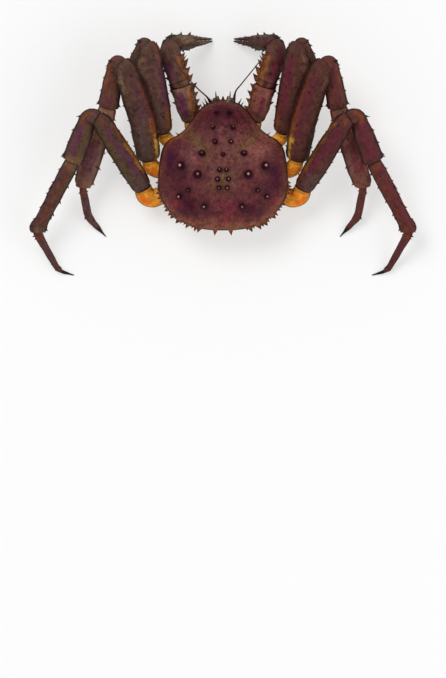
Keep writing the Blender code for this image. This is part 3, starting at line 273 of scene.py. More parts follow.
# Strokes of colour on each segment: (colour, from and to along it, from and to across it, strength, drift).
# Across runs from -1 to 1. On the inner segments 1 is the side towards the head's midline, and beyond
# the knee it is the outer side. Drift is how far a stroke moves across from its start to its end, 0 if not
# given. A key that ends in right is for that side alone.
STROKES = {
    "leg_coxa": (
        ("flame", 0.25, 0.75, -0.5, 0.35, 0.65), ("pale", 0.0, 1.1, 0.55, 1.2, 0.7),
        ("yellow", 0.1, 0.9, -1.2, -0.6, 0.6), ("umber", 0.9, 1.2, -1.2, 1.2, 0.6),
    ),
    "leg2_coxa": (
        ("yellow", 0.0, 0.6, 0.0, 1.2, 0.6), ("flame", 0.45, 0.85, -0.8, 0.1, 0.7),
        ("umber", 0.9, 1.2, -1.2, 1.2, 0.5),
    ),
    "leg3_coxa": (
        ("yellow", 0.0, 0.6, -0.2, 1.2, 0.6), ("flame", 0.6, 0.9, -0.75, -0.15, 0.85),
        ("umber", 0.93, 1.2, -1.2, 1.2, 0.5),
    ),
    "leg3_coxa_right": (
        ("yellow", 0.0, 0.5, -0.2, 1.2, 0.6), ("flame", 0.4, 0.9, 0.15, 0.65, 0.75),
        ("flame", 0.6, 0.9, -0.75, -0.15, 0.85), ("umber", 0.93, 1.2, -1.2, 1.2, 0.5),
    ),
    "claw_coxa": (("tan", -0.2, 1.2, -1.2, 1.2, 0.6),),
    "leg_merus": (
        ("orange", 0.02, 0.32, 0.55, 1.0, 0.9), ("slate", 0.08, 0.36, -0.3, 0.1, 0.7),
        ("shade", 0.28, 0.86, 0.4, 0.85, 0.85), ("sand", 0.66, 0.95, -1.3, -0.4, 0.6),
        ("umber", 0.9, 1.2, -1.2, 1.2, 0.5), ("ember", 0.82, 1.0, 0.6, 0.95, 0.5),
    ),
    "leg1_merus_right": (
        ("orange", 0.02, 0.25, 0.6, 1.0, 0.8), ("shade", 0.2, 0.9, 0.0, 0.7, 0.8),
        ("umber", 0.88, 1.2, -1.2, 1.2, 0.5), ("sand", 0.72, 0.94, -0.85, -0.5, 0.35),
    ),
    "leg2_merus": (
        ("orange", 0.15, 0.42, 0.45, 0.95, 0.8), ("yellow", 0.0, 0.27, 0.6, 0.9, 0.9),
        ("red", 0.33, 0.78, 0.68, 0.95, 0.85), ("slate", 0.05, 0.4, -0.6, 0.1, 0.85),
        ("sand", 0.72, 0.96, -0.95, -0.5, 0.55), ("shade", 0.4, 0.9, 0.1, 0.45, 0.35),
    ),
    "leg2_merus_right": (
        ("orange", 0.05, 0.4, 0.5, 0.95, 0.8), ("yellow", 0.0, 0.25, 0.62, 0.9, 0.9),
        ("red", 0.33, 0.85, 0.6, 0.95, 0.8), ("shade", 0.25, 0.9, -0.1, 0.5, 0.5),
        ("sand", 0.75, 0.93, -0.9, -0.55, 0.3),
    ),
    "leg3_merus": (
        ("yellow", 0.2, 0.6, 0.75, 1.2, 0.75), ("orange", 0.12, 0.9, 0.66, 1.1, 0.8),
        ("olive", 0.2, 1.0, -1.0, -0.3, 0.8), ("slate", -0.1, 0.22, -0.8, 0.5, 0.6),
        ("shade", 0.22, 0.92, -0.1, 0.3, 0.95, -0.5), ("ember", 0.92, 1.0, -0.3, 0.25, 0.7),
        ("umber", 0.9, 1.2, -1.2, 1.2, 0.35),
    ),
    "leg3_merus_right": (
        ("orange", 0.12, 0.9, 0.68, 1.1, 0.75), ("slate", -0.1, 0.3, -1.0, 0.3, 0.6),
        ("shade", 0.22, 0.92, -0.15, 0.35, 0.75, -0.4), ("shade", 0.4, 0.95, -1.0, -0.2, 0.3),
        ("ember", 0.92, 1.0, -0.3, 0.25, 0.6),
    ),
    "leg_carpus": (
        ("tan", 0.1, 0.5, 0.2, 0.7, 0.45), ("umber", 0.4, 1.2, -1.0, 0.2, 0.4),
        ("sand", 0.75, 1.0, 0.3, 0.8, 0.3),
    ),
    "leg2_carpus": (
        ("red", -0.1, 1.1, -0.5, 1.0, 0.3), ("ember", 0.2, 0.62, 0.5, 0.95, 0.7),
        ("shade", 0.78, 0.92, -0.4, 0.4, 0.6), ("umber", 0.0, 0.3, -1.0, 0.4, 0.4),
    ),
    "leg2_carpus_right": (
        ("red", -0.1, 1.1, -1.0, 1.0, 0.2), ("shade", 0.1, 0.9, -0.3, 0.5, 0.35),
        ("ember", 0.2, 0.5, 0.6, 0.95, 0.3),
    ),
    "leg3_carpus": (
        ("ember", 0.1, 0.34, 0.2, 0.7, 0.85), ("shade", 0.34, 0.96, 0.15, 0.6, 0.85),
        ("olive", 0.35, 1.05, -0.8, -0.2, 0.7), ("tan", 0.9, 1.2, -0.8, 0.8, 0.75),
    ),
    "leg3_carpus_right": (
        ("ember", 0.1, 0.34, 0.1, 0.7, 0.8), ("shade", 0.3, 0.95, -0.6, 0.8, 0.6),
        ("dark", 0.95, 1.1, -1.0, 1.0, 0.4),
    ),
    "leg_propodus": (
        ("ember", -0.1, 0.06, -0.6, 0.8, 0.4), ("shade", 0.2, 0.8, -0.1, 0.5, 0.45),
        ("umber", 0.8, 1.1, -1.2, 1.2, 0.4),
    ),
    "leg2_propodus": (
        ("tan", -0.1, 0.09, -0.8, 0.7, 0.7), ("shade", 0.42, 0.82, -0.4, 0.7, 0.7),
        ("slate", 0.45, 0.85, -0.9, -0.2, 0.5), ("umber", 0.82, 1.0, -1.2, 1.2, 0.5),
        ("ember", 0.96, 1.2, -0.8, 0.8, 0.5),
    ),
    "leg3_propodus": (
        ("tan", -0.1, 0.1, -0.9, 0.8, 0.6), ("ember", -0.1, 0.1, -0.3, 0.5, 0.5),
        ("red", 0.1, 0.9, -0.3, 0.2, 0.5), ("shade", 0.15, 0.9, 0.45, 0.95, 0.25),
        ("olive", 0.08, 0.45, -0.9, -0.3, 0.6), ("tan", 0.94, 1.1, -0.9, 0.3, 0.6),
    ),
    "leg3_propodus_right": (
        ("ember", -0.1, 0.08, -0.5, 0.6, 0.4), ("red", 0.0, 1.1, -1.0, 1.0, 0.3),
        ("shade", 0.1, 0.9, -0.2, 0.95, 0.4),
    ),
    "leg_dactyl": (("red", -0.1, 0.14, -1.2, 1.2, 0.6), ("shade", 0.15, 0.6, -0.5, 0.5, 0.35)),
    "claw_merus": (
        ("umber", -0.1, 0.25, -1.2, 0.3, 0.5), ("orange", 0.22, 1.05, 0.3, 0.82, 0.9),
        ("shade", 0.2, 0.9, -0.75, 0.1, 0.9), ("tan", 0.93, 1.1, -0.2, 0.8, 0.7),
        ("dark", 0.8, 1.2, -1.2, -0.75, 0.6),
    ),
    "claw_merus_right": (
        ("orange", 0.25, 0.95, 0.58, 0.8, 0.8), ("shade", 0.35, 0.8, -0.5, 0.0, 0.85),
        ("umber", -0.1, 0.25, -1.2, 0.4, 0.5), ("dark", 0.8, 1.2, -1.2, -0.75, 0.6),
    ),
    "claw_carpus": (
        ("sand", -0.15, 0.14, 0.2, 0.8, 0.7), ("orange", 0.1, 0.7, 0.5, 0.95, 0.9),
        ("shade", 0.2, 0.68, -0.85, -0.2, 0.85), ("umber", 0.68, 1.1, -1.2, 0.4, 0.4),
        ("dark", -0.1, 0.1, -1.4, -0.72, 0.8),
    ),
    "claw_carpus_right": (
        ("orange", -0.1, 0.7, 0.4, 0.95, 0.85), ("shade", 0.2, 0.84, -0.85, -0.1, 0.8),
        ("umber", 0.7, 1.1, -1.2, 0.4, 0.4), ("dark", -0.1, 0.1, -1.4, -0.72, 0.8),
    ),
    "claw_palm": (
        ("umber", -0.1, 0.28, -1.2, 1.2, 0.6), ("red", 0.02, 0.22, 0.35, 0.65, 0.5),
        ("umber", 0.1, 1.2, 0.2, 1.2, 0.65), ("sand", 0.15, 0.8, -0.8, 0.1, 0.8),
    ),
    "claw_palm_right": (("umber", -0.1, 1.2, 0.1, 1.2, 0.4),),
}
# Segments whose ground colour is painted paler, as painted light against the shade that the shell and other
# limbs cast on them.
PAINTED_LIGHT_LIFT = {
    "leg1_coxa": 1.4, "leg2_coxa": 1.4, "leg2_propodus": 3.3, "claw_merus": 2.8, "claw_carpus": 1.35,
    "leg1_merus": 1.25, "leg2_dactyl": 1.2, "leg2_carpus": 1.15,
}
# Which colour a kind of segment starts from.
GROUNDS = {"coxa": "ochre", "palm": "claw", "finger": "claw"}

# Camera and picture: the picture's scale, and the image row and column of the crab's y = 0 and x = 0.
PICTURE_WIDTH, PICTURE_HEIGHT = 446, 678
MM_PER_PIXEL = 1.45
ROW_OF_ZERO, COLUMN_OF_ZERO = 152.0, 223.0
CAMERA_HEIGHT = 1500.0
# Light: the sky's strength round the sides and overhead, and the suns.
SKY_LIGHT, SKY_OVERHEAD, SKY_DIM_FROM = 0.78, 0.2, 0.55
# Suns: (name, heading, height and softness in degrees, strength).
SUNS = (("key", -52, 55, 30, 1.5), ("fill", 160, 45, 50, 0.75))
# The floor is lit a little from within, as a light table is, so that shadows on it stay pale.
FLOOR_TONE, FLOOR_GLOW, FLOOR_HALF_WIDTH_M = 0.45, 0.48, 4.0
WHITE = (1, 1, 1, 1)


def unit(vectors):
    return vectors / np.linalg.norm(vectors, axis=-1, keepdims=True)


def smooth(share):
    share = np.clip(share, 0.0, 1.0)
    return share * share * (3 - 2 * share)


def mix(paint, colour, share):
    """Rows of paint moved towards a colour by a share for each row."""
    return paint + (np.asarray(colour) - paint) * np.asarray(share)[..., None]


def turns(count):
    """The angles of even steps round a ring."""
    return np.arange(count) * 2 * math.pi / count


def squared(part):
    """A sine or cosine pushed outwards, which makes a round section a little square."""
    return np.sign(part) * np.abs(part) ** SECTION_SQUARENESS


def lengths_along(line):
    """The length along a line at each of its points."""
    return np.concatenate([[0], np.cumsum(np.linalg.norm(np.diff(line, axis=0), axis=1))])


def evenly(ring, count):
    """Evenly spaced points round a closed line."""
    around = np.concatenate([ring, ring[:1]])
    at = lengths_along(around)
    places = np.arange(count) * at[-1] / count
    return np.stack([np.interp(places, at, column) for column in around.T], axis=1)


def chance_at(cell, seed):
    """Repeatable numbers from 0 to 1 for whole-number cells (n, 3)."""
    low = 0xFFFFFFFF
    n = (cell[:, 0] * 73856093) ^ (cell[:, 1] * 19349663) ^ (cell[:, 2] * 83492791) ^ (seed * 26544357)
    n = n & low
    n = ((n ^ (n >> 15)) * 2246822519) & low
    n = ((n ^ (n >> 13)) * 3266489917) & low
    return ((n ^ (n >> 16)) & 0xFFFFFF) / float(0xFFFFFF)


def noise(points, size, seed):
    """Smooth noise from -1 to 1 whose features are about size across."""
    scaled = points / size
    cell = np.floor(scaled).astype(np.int64)
    part = scaled - cell
    part = part * part * part * (part * (part * 6 - 15) + 10)
    total = np.zeros(len(points))
    for corner in range(8):
        step = np.array((corner & 1, corner >> 1 & 1, corner >> 2))
        weight = np.prod(np.where(step == 1, part, 1 - part), axis=1)
        total += weight * chance_at(cell + step, seed)
    return total * 2 - 1


def granules(points, size, seed, share=0.6):
    """Round pimples, 0 to 1 high, in a share of the cells of the given size."""
    scaled = points / size
    cell = np.floor(scaled).astype(np.int64)
    best = np.zeros(len(points))
    for corner in range(27):
        near = cell + (corner % 3 - 1, corner // 3 % 3 - 1, corner // 9 - 1)
        radius = 0.28 + 0.27 * chance_at(near, seed)
        shift = np.stack([chance_at(near, seed + k) for k in (1, 2, 3)], axis=1)
        distance = np.linalg.norm(scaled - (near + 0.2 + 0.6 * shift), axis=1)
        there = chance_at(near, seed + 4) < share
        best = np.maximum(best, there * np.clip(1 - (distance / radius) ** 2, 0, 1))
    return best


def noise_sum(points, layers, seed=0):
    """Layers of noise, each (height, size, seed), added up."""
    return sum(height * noise(points, size, seed + own) for height, size, own in layers)


def patchy(points, size, seed, middle, spread):
    """Uneven shares round a middle one."""
    return np.clip(middle + spread * noise(points, size, seed), 0, 1)


def along_table(table, t):
    """Smooth values at t in a table of (t, value)."""
    places, values = np.array(table, float).T
    i = np.clip(np.searchsorted(places, t, "right") - 1, 0, len(places) - 2)
    u = np.clip((t - places[i]) / (places[i + 1] - places[i]), 0, 1)
    return values[i] + (values[i + 1] - values[i]) * u * u * (3 - 2 * u)


def curve_through(padded, steps):
    """Catmull-Rom points from the second of the given points to the last but one, with steps to a span."""
    found = []
    for k in range(len(padded) - 3):
        p0, p1, p2, p3 = padded[k : k + 4]
        for i in range(steps):
            u = i / steps
            found.append(0.5 * (2 * p1 + (p2 - p0) * u + (2 * p0 - 5 * p1 + 4 * p2 - p3) * u**2
                                + (3 * p1 - p0 - 3 * p2 + p3) * u**3))
    return np.array(found)


def smooth_line(points, steps):
    """A smooth line through points (n, k), with steps to a span."""
    points = np.array(points, float)
    padded = np.concatenate([[points[0] * 2 - points[1]], points, [points[-1] * 2 - points[-2]]])
    return np.concatenate([curve_through(padded, steps), points[-1:]])


def heading_vector(heading, pitch):
    h, p = math.radians(heading), math.radians(pitch)
    return np.array((math.cos(h) * math.cos(p), math.sin(h) * math.cos(p), math.sin(p)))


def corner_arc(into, corner, out, angle, bend):
    """Points of an arc of radius bend in place of a corner. The middle one is where the corner counts."""
    tangent = bend * math.tan(angle / 2)
    across = unit(out - into * (out @ into))
    steps = max(4, 2 * round(math.degrees(angle) / 12))
    parts = [angle * i / steps for i in range(steps + 1)]
    start = corner - into * tangent
    return [start + into * bend * math.sin(a) + across * bend * (1 - math.cos(a)) for a in parts]


class Path:
    """A centre line of straight stretches with rounded corners, read by its length."""

    def __init__(self, hip, runs, radius):
        corners = [np.array(hip, float)]
        for length, heading, pitch in runs:
            if pitch is None:
                pitch = math.degrees(math.asin((TIP_Z - corners[-1][2]) / length))
            corners.append(corners[-1] + heading_vector(heading, pitch) * length)
        steps = [b - a for a, b in zip(corners, corners[1:])]
        angles = [math.acos(np.clip(unit(a) @ unit(b), -1, 1)) for a, b in zip(steps, steps[1:])]
        bends = [0.0, *(math.tan(angle / 2) for angle in angles), 0.0]
        room = [np.linalg.norm(run) / (a + b) for run, a, b in zip(steps, bends, bends[1:])]
        line, corner_index = [corners[0]], []
        for i, corner in enumerate(corners[1:-1]):
            bend = min(max(radius, EASY_CORNER / bends[i + 1]), 0.98 * room[i], 0.98 * room[i + 1])
            arc = corner_arc(unit(steps[i]), corner, unit(steps[i + 1]), angles[i], bend)
            corner_index.append(len(line) + len(arc) // 2)
            line += arc
        line.append(corners[-1])
        self.points = np.array(line)
        self.at = lengths_along(self.points)
        self.length = self.at[-1]
        self.corner_at = [self.at[i] for i in corner_index]
        ahead = np.concatenate([self.points[1:], self.points[-1:]])
        behind = np.concatenate([self.points[:1], self.points[:-1]])
        self.tangents = unit(ahead - behind)

    def place(self, s):
        """Positions, and unit directions along, across and up, at lengths s. It runs on past its ends."""
        s = np.atleast_1d(np.asarray(s, float))
        inside = np.clip(s, 0, self.length)
        position = np.stack([np.interp(inside, self.at, column) for column in self.points.T], axis=1)
        along = unit(np.stack([np.interp(inside, self.at, column) for column in self.tangents.T], axis=1))
        position += along * (s - inside)[:, None]
        across = unit(np.cross(along, UP))
        return position, along, across, np.cross(across, along)


class Shape:
    """A closed mesh with, at each vertex, its paint and its share of dark horn."""

    def __init__(self, points, faces, paint, horn=0.0):
        self.points, self.faces = points, faces
        self.paint = np.broadcast_to(paint, (len(points), 3))
        self.horn = np.broadcast_to(horn, len(points))
        corners = points[faces]
        if np.einsum("ij,ij->i", corners[:, 0], np.cross(corners[:, 1], corners[:, 2])).sum() < 0:
            self.faces = faces[:, ::-1]


def ring_faces(rows, columns):
    """Triangles of a grid whose columns run round in a ring."""
    i = np.arange(rows - 1)[:, None] * columns
    j = np.arange(columns)[None, :]
    k = (j + 1) % columns
    a, b, c, d = i + j, i + k, i + columns + k, i + columns + j
    return np.concatenate([np.stack([a, b, c], -1).reshape(-1, 3), np.stack([a, c, d], -1).reshape(-1, 3)])


def capped(grid):
    """Points and triangles of a grid (rows, columns, 3), with a point in the middle of each end."""
    rows, columns = grid.shape[:2]
    points = np.concatenate([grid.reshape(-1, 3), [grid[0].mean(axis=0)], [grid[-1].mean(axis=0)]])
    first, last = len(points) - 2, len(points) - 1
    j = np.arange(columns)
    k = (j + 1) % columns
    base = (rows - 1) * columns
    start = np.stack([np.full(columns, first), k, j], -1)
    end = np.stack([np.full(columns, last), base + j, base + k], -1)
    return points, np.concatenate([ring_faces(rows, columns), start, end])


def per_point(values, shape, ends=(0, 0)):
    """A value for each point of a capped grid: the grid's own, then the two middles'."""
    return np.concatenate([np.broadcast_to(values, shape).ravel(), ends])


def ring_normals(grid):
    """Outward directions of a grid whose columns run round in a ring."""
    round_it = np.roll(grid, -1, axis=1) - np.roll(grid, 1, axis=1)
    normals = np.cross(np.gradient(grid, axis=0), round_it)
    normals /= np.maximum(np.linalg.norm(normals, axis=-1, keepdims=True), 1e-9)
    outward = grid - grid.mean(axis=1, keepdims=True)
    return normals if (normals * outward).sum() > 0 else -normals


# Spine forms: height as a share of the length, and width there as a share of the radius.
SPINE_HEIGHTS = (-0.22, 0.0, 0.08, 0.2, 0.38, 0.58, 0.76, 0.9, 0.98)
SPINE_FORMS = {
    "sharp": (1.75, 1.5, 1.12, 0.86, 0.66, 0.48, 0.32, 0.18, 0.07),
    "tooth": (1.15, 1.05, 0.96, 0.82, 0.62, 0.42, 0.24, 0.11, 0.04),
    "blunt": (1.5, 1.3, 1.05, 0.88, 0.74, 0.6, 0.46, 0.32, 0.18),
}


def spines(roots, directions, lengths, radii, paint, lean=None, tip="ivory", sides=10, form="sharp",
           pale_from=0.62, tip_strength=1.0):
    """Many spines at once: a flared, sunk root, a curved cone and a tip in a colour of its own, if named."""
    roots, directions = np.atleast_2d(roots), unit(np.atleast_2d(directions))
    lengths, radii = np.atleast_1d(lengths)[:, None, None], np.atleast_1d(radii)[:, None, None]
    lean = np.zeros(3) if lean is None else np.asarray(lean)
    lean = np.broadcast_to(lean, roots.shape)[:, None, None]
    height = np.array(SPINE_HEIGHTS)[None, :, None]
    width = np.array(SPINE_FORMS[form])[None, :, None]
    helper = np.where(np.abs(directions[:, 2:]) < 0.9, UP, np.array((1.0, 0, 0)))
    side_a = unit(np.cross(directions, helper))
    side_b = np.cross(directions, side_a)
    angle = turns(sides)
    circle = (side_a[:, None, None] * np.cos(angle)[None, None, :, None]
              + side_b[:, None, None] * np.sin(angle)[None, None, :, None])
    centres = (roots[:, None, None] + directions[:, None, None] * (height * lengths)[..., None]
               + lean * (np.maximum(height, 0) ** 2 * lengths)[..., None])
    grid = centres + circle * (width * radii)[..., None]
    tips = (roots + directions * lengths[:, 0] + lean[:, 0, 0] * lengths[:, 0])[:, None]
    count, rings = grid.shape[:2]
    points = np.concatenate([grid.reshape(count, -1, 3), tips], axis=1)
    j = np.arange(sides)
    k = (j + 1) % sides
    top = (rings - 1) * sides
    fan = np.stack([np.full(sides, rings * sides), top + j, top + k], -1)
    base = np.stack([np.zeros(sides - 2, int), k[1:-1], j[1:-1]], -1)
    one = np.concatenate([ring_faces(rings, sides), fan, base])
    faces = (one[None] + (np.arange(count) * points.shape[1])[:, None, None]).reshape(-1, 3)
    rise = np.concatenate([np.repeat(height[0, :, 0], sides), [1.0]])
    paint = np.broadcast_to(paint, (count, 3))[:, None]
    dark = smooth((rise - 0.02) / 0.3)[None, :, None]
    colour = paint * (1 - (0.45 if tip else 0.15) * dark)
    if tip:
        # The tip's colour, at a strength for each spine; on the back spines it is partly a painted highlight.
        pale = smooth((rise - pale_from) / 0.25)[None, :, None]
        pale = pale * np.broadcast_to(tip_strength, count)[:, None, None]
        colour = colour + (np.array(COLOURS[tip]) - colour) * pale * (0.85 if tip == "ivory" else 0.95)
    horn = np.tile(smooth((rise - 0.45) / 0.4), count)
    return Shape(points.reshape(-1, 3), faces, colour.reshape(-1, 3), horn)


def tube(points, radii, steps=8, sides=20, waves=None):
    """A grid round a smooth line. Waves is a function of the length that scales its girth."""
    line = smooth_line(np.column_stack([np.array(points, float), radii]), steps)
    centre, radius = line[:, :3], line[:, 3]
    along = unit(np.gradient(centre, axis=0))
    across = unit(np.cross(along, UP))
    up = np.cross(across, along)
    length = lengths_along(centre)
    if waves is not None:
        radius = radius * waves(length)
    angle = turns(sides)
    circle = across[:, None] * np.cos(angle)[None, :, None] + up[:, None] * np.sin(angle)[None, :, None]
    return centre[:, None] + circle * radius[:, None, None], length


def add_object(name, data):
    made = bpy.data.objects.new(name, data)
    bpy.context.scene.collection.objects.link(made)
    return made


def make_piece(node, shapes, side, finish):
    """One piece of the model that stands for a node of the frame."""
    starts = np.cumsum([0] + [len(shape.points) for shape in shapes])
    faces = np.concatenate([shape.faces + start for shape, start in zip(shapes, starts)])
    points, paint, horn = (np.concatenate([getattr(shape, what) for shape in shapes]).astype(float)
                           for what in ("points", "paint", "horn"))
    points[:, 2] = np.maximum(points[:, 2], 0.0)
    points = (points - (0, MIDDLE_Y, 0)) * (side * MM, MM, MM)
    if side == RIGHT:
        faces = faces[:, ::-1]
    mesh = bpy.data.meshes.new(node + "_shell")
    mesh.vertices.add(len(points))
    mesh.vertices.foreach_set("co", points.astype(np.float32).ravel())
    mesh.loops.add(faces.size)
    mesh.loops.foreach_set("vertex_index", faces.astype(np.int32).ravel())
    mesh.polygons.add(len(faces))
    mesh.polygons.foreach_set("loop_start", np.arange(0, faces.size, 3, dtype=np.int32))
    mesh.update(calc_edges=True)
    mesh.shade_smooth()
    rgba = np.column_stack([np.clip(paint, 0, 1), np.ones(len(points))]).astype(np.float32)
    mesh.attributes.new("paint", "FLOAT_COLOR", "POINT").data.foreach_set("color", rgba.ravel())
    mesh.attributes.new("horn", "FLOAT", "POINT").data.foreach_set("value", horn.astype(np.float32))
    obj = add_object(node + "_shell", mesh)
    slot, look = finish
    mesh.materials.append(MATERIALS[look])
    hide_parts(node)
    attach(obj, "root")


def plug(tree, node, values):
    """Sets a node's inputs to values, or links them to other sockets."""
    for name, value in values.items():
        if isinstance(value, bpy.types.NodeSocket):
            tree.links.new(value, node.inputs[name])
        else:
            node.inputs[name].default_value = value


def add_node(tree, kind, values=None, **settings):
    made = tree.nodes.new(kind)
    for name, value in settings.items():
        setattr(made, name, value)
    plug(tree, made, values or {})
    return made


def map_range(tree, value, low, high, to_low, to_high):
    values = {"Value": value, "From Min": low, "From Max": high, "To Min": to_low, "To Max": to_high}
    return add_node(tree, "ShaderNodeMapRange", values).outputs["Result"]


def combine(tree, operation, first, second):
    return add_node(tree, "ShaderNodeMath", {0: first, 1: second}, operation=operation).outputs[0]


def noise_texture(tree, place, scale, detail, roughness=0.5):
    values = {"Vector": place, "Scale": scale, "Detail": detail, "Roughness": roughness}
    return add_node(tree, "ShaderNodeTexNoise", values).outputs["Fac"]


def cells(tree, place, scale):
    return add_node(tree, "ShaderNodeTexVoronoi", {"Vector": place, "Scale": scale}).outputs["Distance"]


def shaded_paint(tree, shade):
    """The painted colour of the mesh, made lighter or darker."""
    paint = add_node(tree, "ShaderNodeAttribute", attribute_name="paint").outputs["Color"]
    return add_node(tree, "ShaderNodeVectorMath", {0: paint, "Scale": shade}, operation="SCALE").outputs[0]


def bumped(tree, height, strength, distance):
    values = {"Strength": strength, "Distance": distance, "Height": height}
    return add_node(tree, "ShaderNodeBump", values).outputs[0]


def new_material(name):
    """A material, its node tree and its place on the object."""
    made = bpy.data.materials.new(name)
    made.use_nodes = True
    return made, made.node_tree, add_node(made.node_tree, "ShaderNodeTexCoord").outputs["Object"]


def shell_material(name, mottle, grain, roughness, bump, coat):
    """Painted shell: mottled, pitted and a little uneven in gloss, with smooth dark horn at its points."""
    made, tree, place = new_material(name)
    horn = add_node(tree, "ShaderNodeAttribute", attribute_name="horn").outputs["Fac"]
    broad = noise_texture(tree, place, 95.0, 5.0, 0.62)
    fine = noise_texture(tree, place, 620.0, 4.0, 0.6)
    pits = cells(tree, place, grain)
    shade = combine(tree, "MULTIPLY", map_range(tree, broad, 0.3, 0.7, 1 - mottle, 1 + mottle),
                    map_range(tree, fine, 0.3, 0.7, 1 - 0.9 * mottle, 1 + 0.9 * mottle))
    pitted = combine(tree, "MULTIPLY", shade, map_range(tree, pits, 0.05, 0.45, 1.16, 0.9))
    warm = add_node(tree, "ShaderNodeMix", {
        "Factor": map_range(tree, fine, 0.45, 0.75, 0.0, 0.55),
        6: shaded_paint(tree, pitted),
        7: WARM_TINT,
    }, data_type="RGBA", blend_type="SOFT_LIGHT").outputs[2]
    gloss = map_range(tree, fine, 0.3, 0.7, roughness - 0.07, roughness + 0.1)
    polished = add_node(tree, "ShaderNodeMix", {"Factor": horn, 2: gloss, 3: HORN_ROUGHNESS}).outputs[0]
    height = combine(tree, "ADD", map_range(tree, pits, 0.0, 0.5, 1.0, 0.0),
                     map_range(tree, fine, 0.0, 1.0, 0.0, 0.9))
    plug(tree, tree.nodes["Principled BSDF"], {
        "Base Color": warm,
        "Roughness": polished,
        "Normal": bumped(tree, height, bump, 0.0005),
        "Specular IOR Level": 0.09,
        "Coat Weight": coat,
        "Coat Roughness": 0.3,
    })
    return made


def eye_material():
    """Black, wet-looking eye with fine facets."""
    made, tree, place = new_material("eye")
    facets = cells(tree, place, 2600.0)
    plug(tree, tree.nodes["Principled BSDF"], {
        "Base Color": shaded_paint(tree, map_range(tree, facets, 0.0, 0.6, 1.3, 0.7)),
        "Normal": bumped(tree, facets, 0.15, 0.0001),
        "Roughness": map_range(tree, facets, 0.0, 0.6, 0.1, 0.2),
        "Coat Weight": 0.35,
        "Coat Roughness": 0.08,
    })
    return made


WARM_TINT, HORN_ROUGHNESS = (0.30, 0.12, 0.06, 1.0), 0.24
# Materials of painted shell: (strength of mottling, pits a metre, roughness, bump, coat).
LOOKS = {
    "shell": (0.22, 900.0, 0.52, 0.35, 0.03),
    "limb": (0.17, 760.0, 0.54, 0.4, 0.04),
    "base": (0.14, 700.0, 0.50, 0.3, 0.05),
    "belly": (0.10, 600.0, 0.54, 0.3, 0.03),
    "claw": (0.18, 760.0, 0.50, 0.4, 0.05),
    "feeler": (0.12, 1500.0, 0.48, 0.2, 0.04),
}
MATERIALS = {name: shell_material(name, *look) for name, look in LOOKS.items()}
MATERIALS["eye"] = eye_material()
# The record's material slot and the material of each kind of piece.
FINISHES = {
    "carapace": ("shell", "shell"),
    "limb": ("limb_shell", "limb"),
    "coxa": ("limb_base", "base"),
    "belly": ("belly", "belly"),
    "claw": ("claw", "claw"),
    "toe": ("toe", "limb"),
    "eye": ("eye", "eye"),
    "feeler": ("feeler", "feeler"),
    "mouthpart": ("mouthpart", "base"),
}


def closed_outline(table, count=0):
    """Points (x, y) of the closed outline that a table of (y, half width) gives, evenly spaced if counted."""
    half = [(x, y) for y, x in table]
    ring = np.array(half + [(-x, y) for x, y in half[-2:0:-1]])
    fine = curve_through(np.concatenate([ring[-1:], ring, ring[:2]]), 8)
    return evenly(fine, count) if count else fine


def distance_to_line(x, y, line):
    """The distance of points from a line of straight stretches."""
    best = np.full(x.shape, 1e9)
    for (x0, y0), (x1, y1) in zip(line, line[1:]):
        dx, dy = x1 - x0, y1 - y0
        share = np.clip(((x - x0) * dx + (y - y0) * dy) / (dx * dx + dy * dy), 0, 1)
        best = np.minimum(best, np.hypot(x - x0 - share * dx, y - y0 - share * dy))
    return best


class Carapace:
    """The shell over the back, as a height above its outline."""

    def __init__(self):
        around = closed_outline(CARAPACE_OUTLINE)
        self.angles = np.arctan2(around[:, 1] - CARAPACE_CENTRE_Y, around[:, 0])
        self.radii = np.hypot(around[:, 0], around[:, 1] - CARAPACE_CENTRE_Y)

    def rim(self, angle):
        return np.interp(angle, self.angles, self.radii, period=2 * math.pi)

    def reach(self, x, y):
        angle = np.arctan2(y - CARAPACE_CENTRE_Y, x)
        return np.hypot(x, y - CARAPACE_CENTRE_Y) / self.rim(angle)

    def height(self, x, y):
        reach = np.minimum(self.reach(x, y), 1.0)
        z = CARAPACE_RIM_Z + CARAPACE_DOME * (1 - reach**DOME_STEEPNESS) ** DOME_ROUNDNESS
        for cx, cy, width, length, rise in SWELLINGS:
            for side in (LEFT, RIGHT) if cx else (LEFT,):
                bump = np.exp(-(((x - side * cx) / width) ** 2) - ((y - cy) / length) ** 2)
                z = z + rise * bump * (1 - reach**6)
        return z

    def surface(self, x, y):
        """Points of the shell above (x, y) and the ways out there."""
        x, y = np.atleast_1d(x).astype(float), np.atleast_1d(y).astype(float)
        step = 1.5
        slope_x = (self.height(x + step, y) - self.height(x - step, y)) / (2 * step)
        slope_y = (self.height(x, y + step) - self.height(x, y - step)) / (2 * step)
        points = np.stack([x, y, self.height(x, y)], axis=1)
        return points, unit(np.stack([-slope_x, -slope_y, np.ones(len(x))], axis=1))


SHELL_COLOURS = {
    "shell": (0.125, 0.033, 0.035),
    "front": (0.062, 0.006, 0.012),
    "stomach": (0.188, 0.070, 0.056),
    "heart": (0.152, 0.083, 0.036),
    "plum": (0.050, 0.003, 0.014),
    "branch": (0.165, 0.048, 0.046),
    "bright": (0.250, 0.084, 0.068),
    "rear": (0.195, 0.026, 0.042),
    "red": (0.21, 0.024, 0.028),
    "violet": (0.045, 0.006, 0.040),
    "rim": (0.27, 0.094, 0.048),
    "groove": (0.150, 0.092, 0.028),
    "glow": (0.36, 0.105, 0.024),
    "dark": (0.022, 0.003, 0.008),
}
# Patches of colour on the shell: (colour, x, y, width, length, strength).
SHELL_PATCHES = (
    ("stomach", 0, -10, 30, 22, 0.7),
    ("front", 0, -60, 42, 26, 0.97),
    ("heart", 0, 39, 17, 19, 0.85),
    ("rear", -6, 86, 17, 20, 0.75),
    ("rim", 0, 106, 60, 9, 0.5),
)
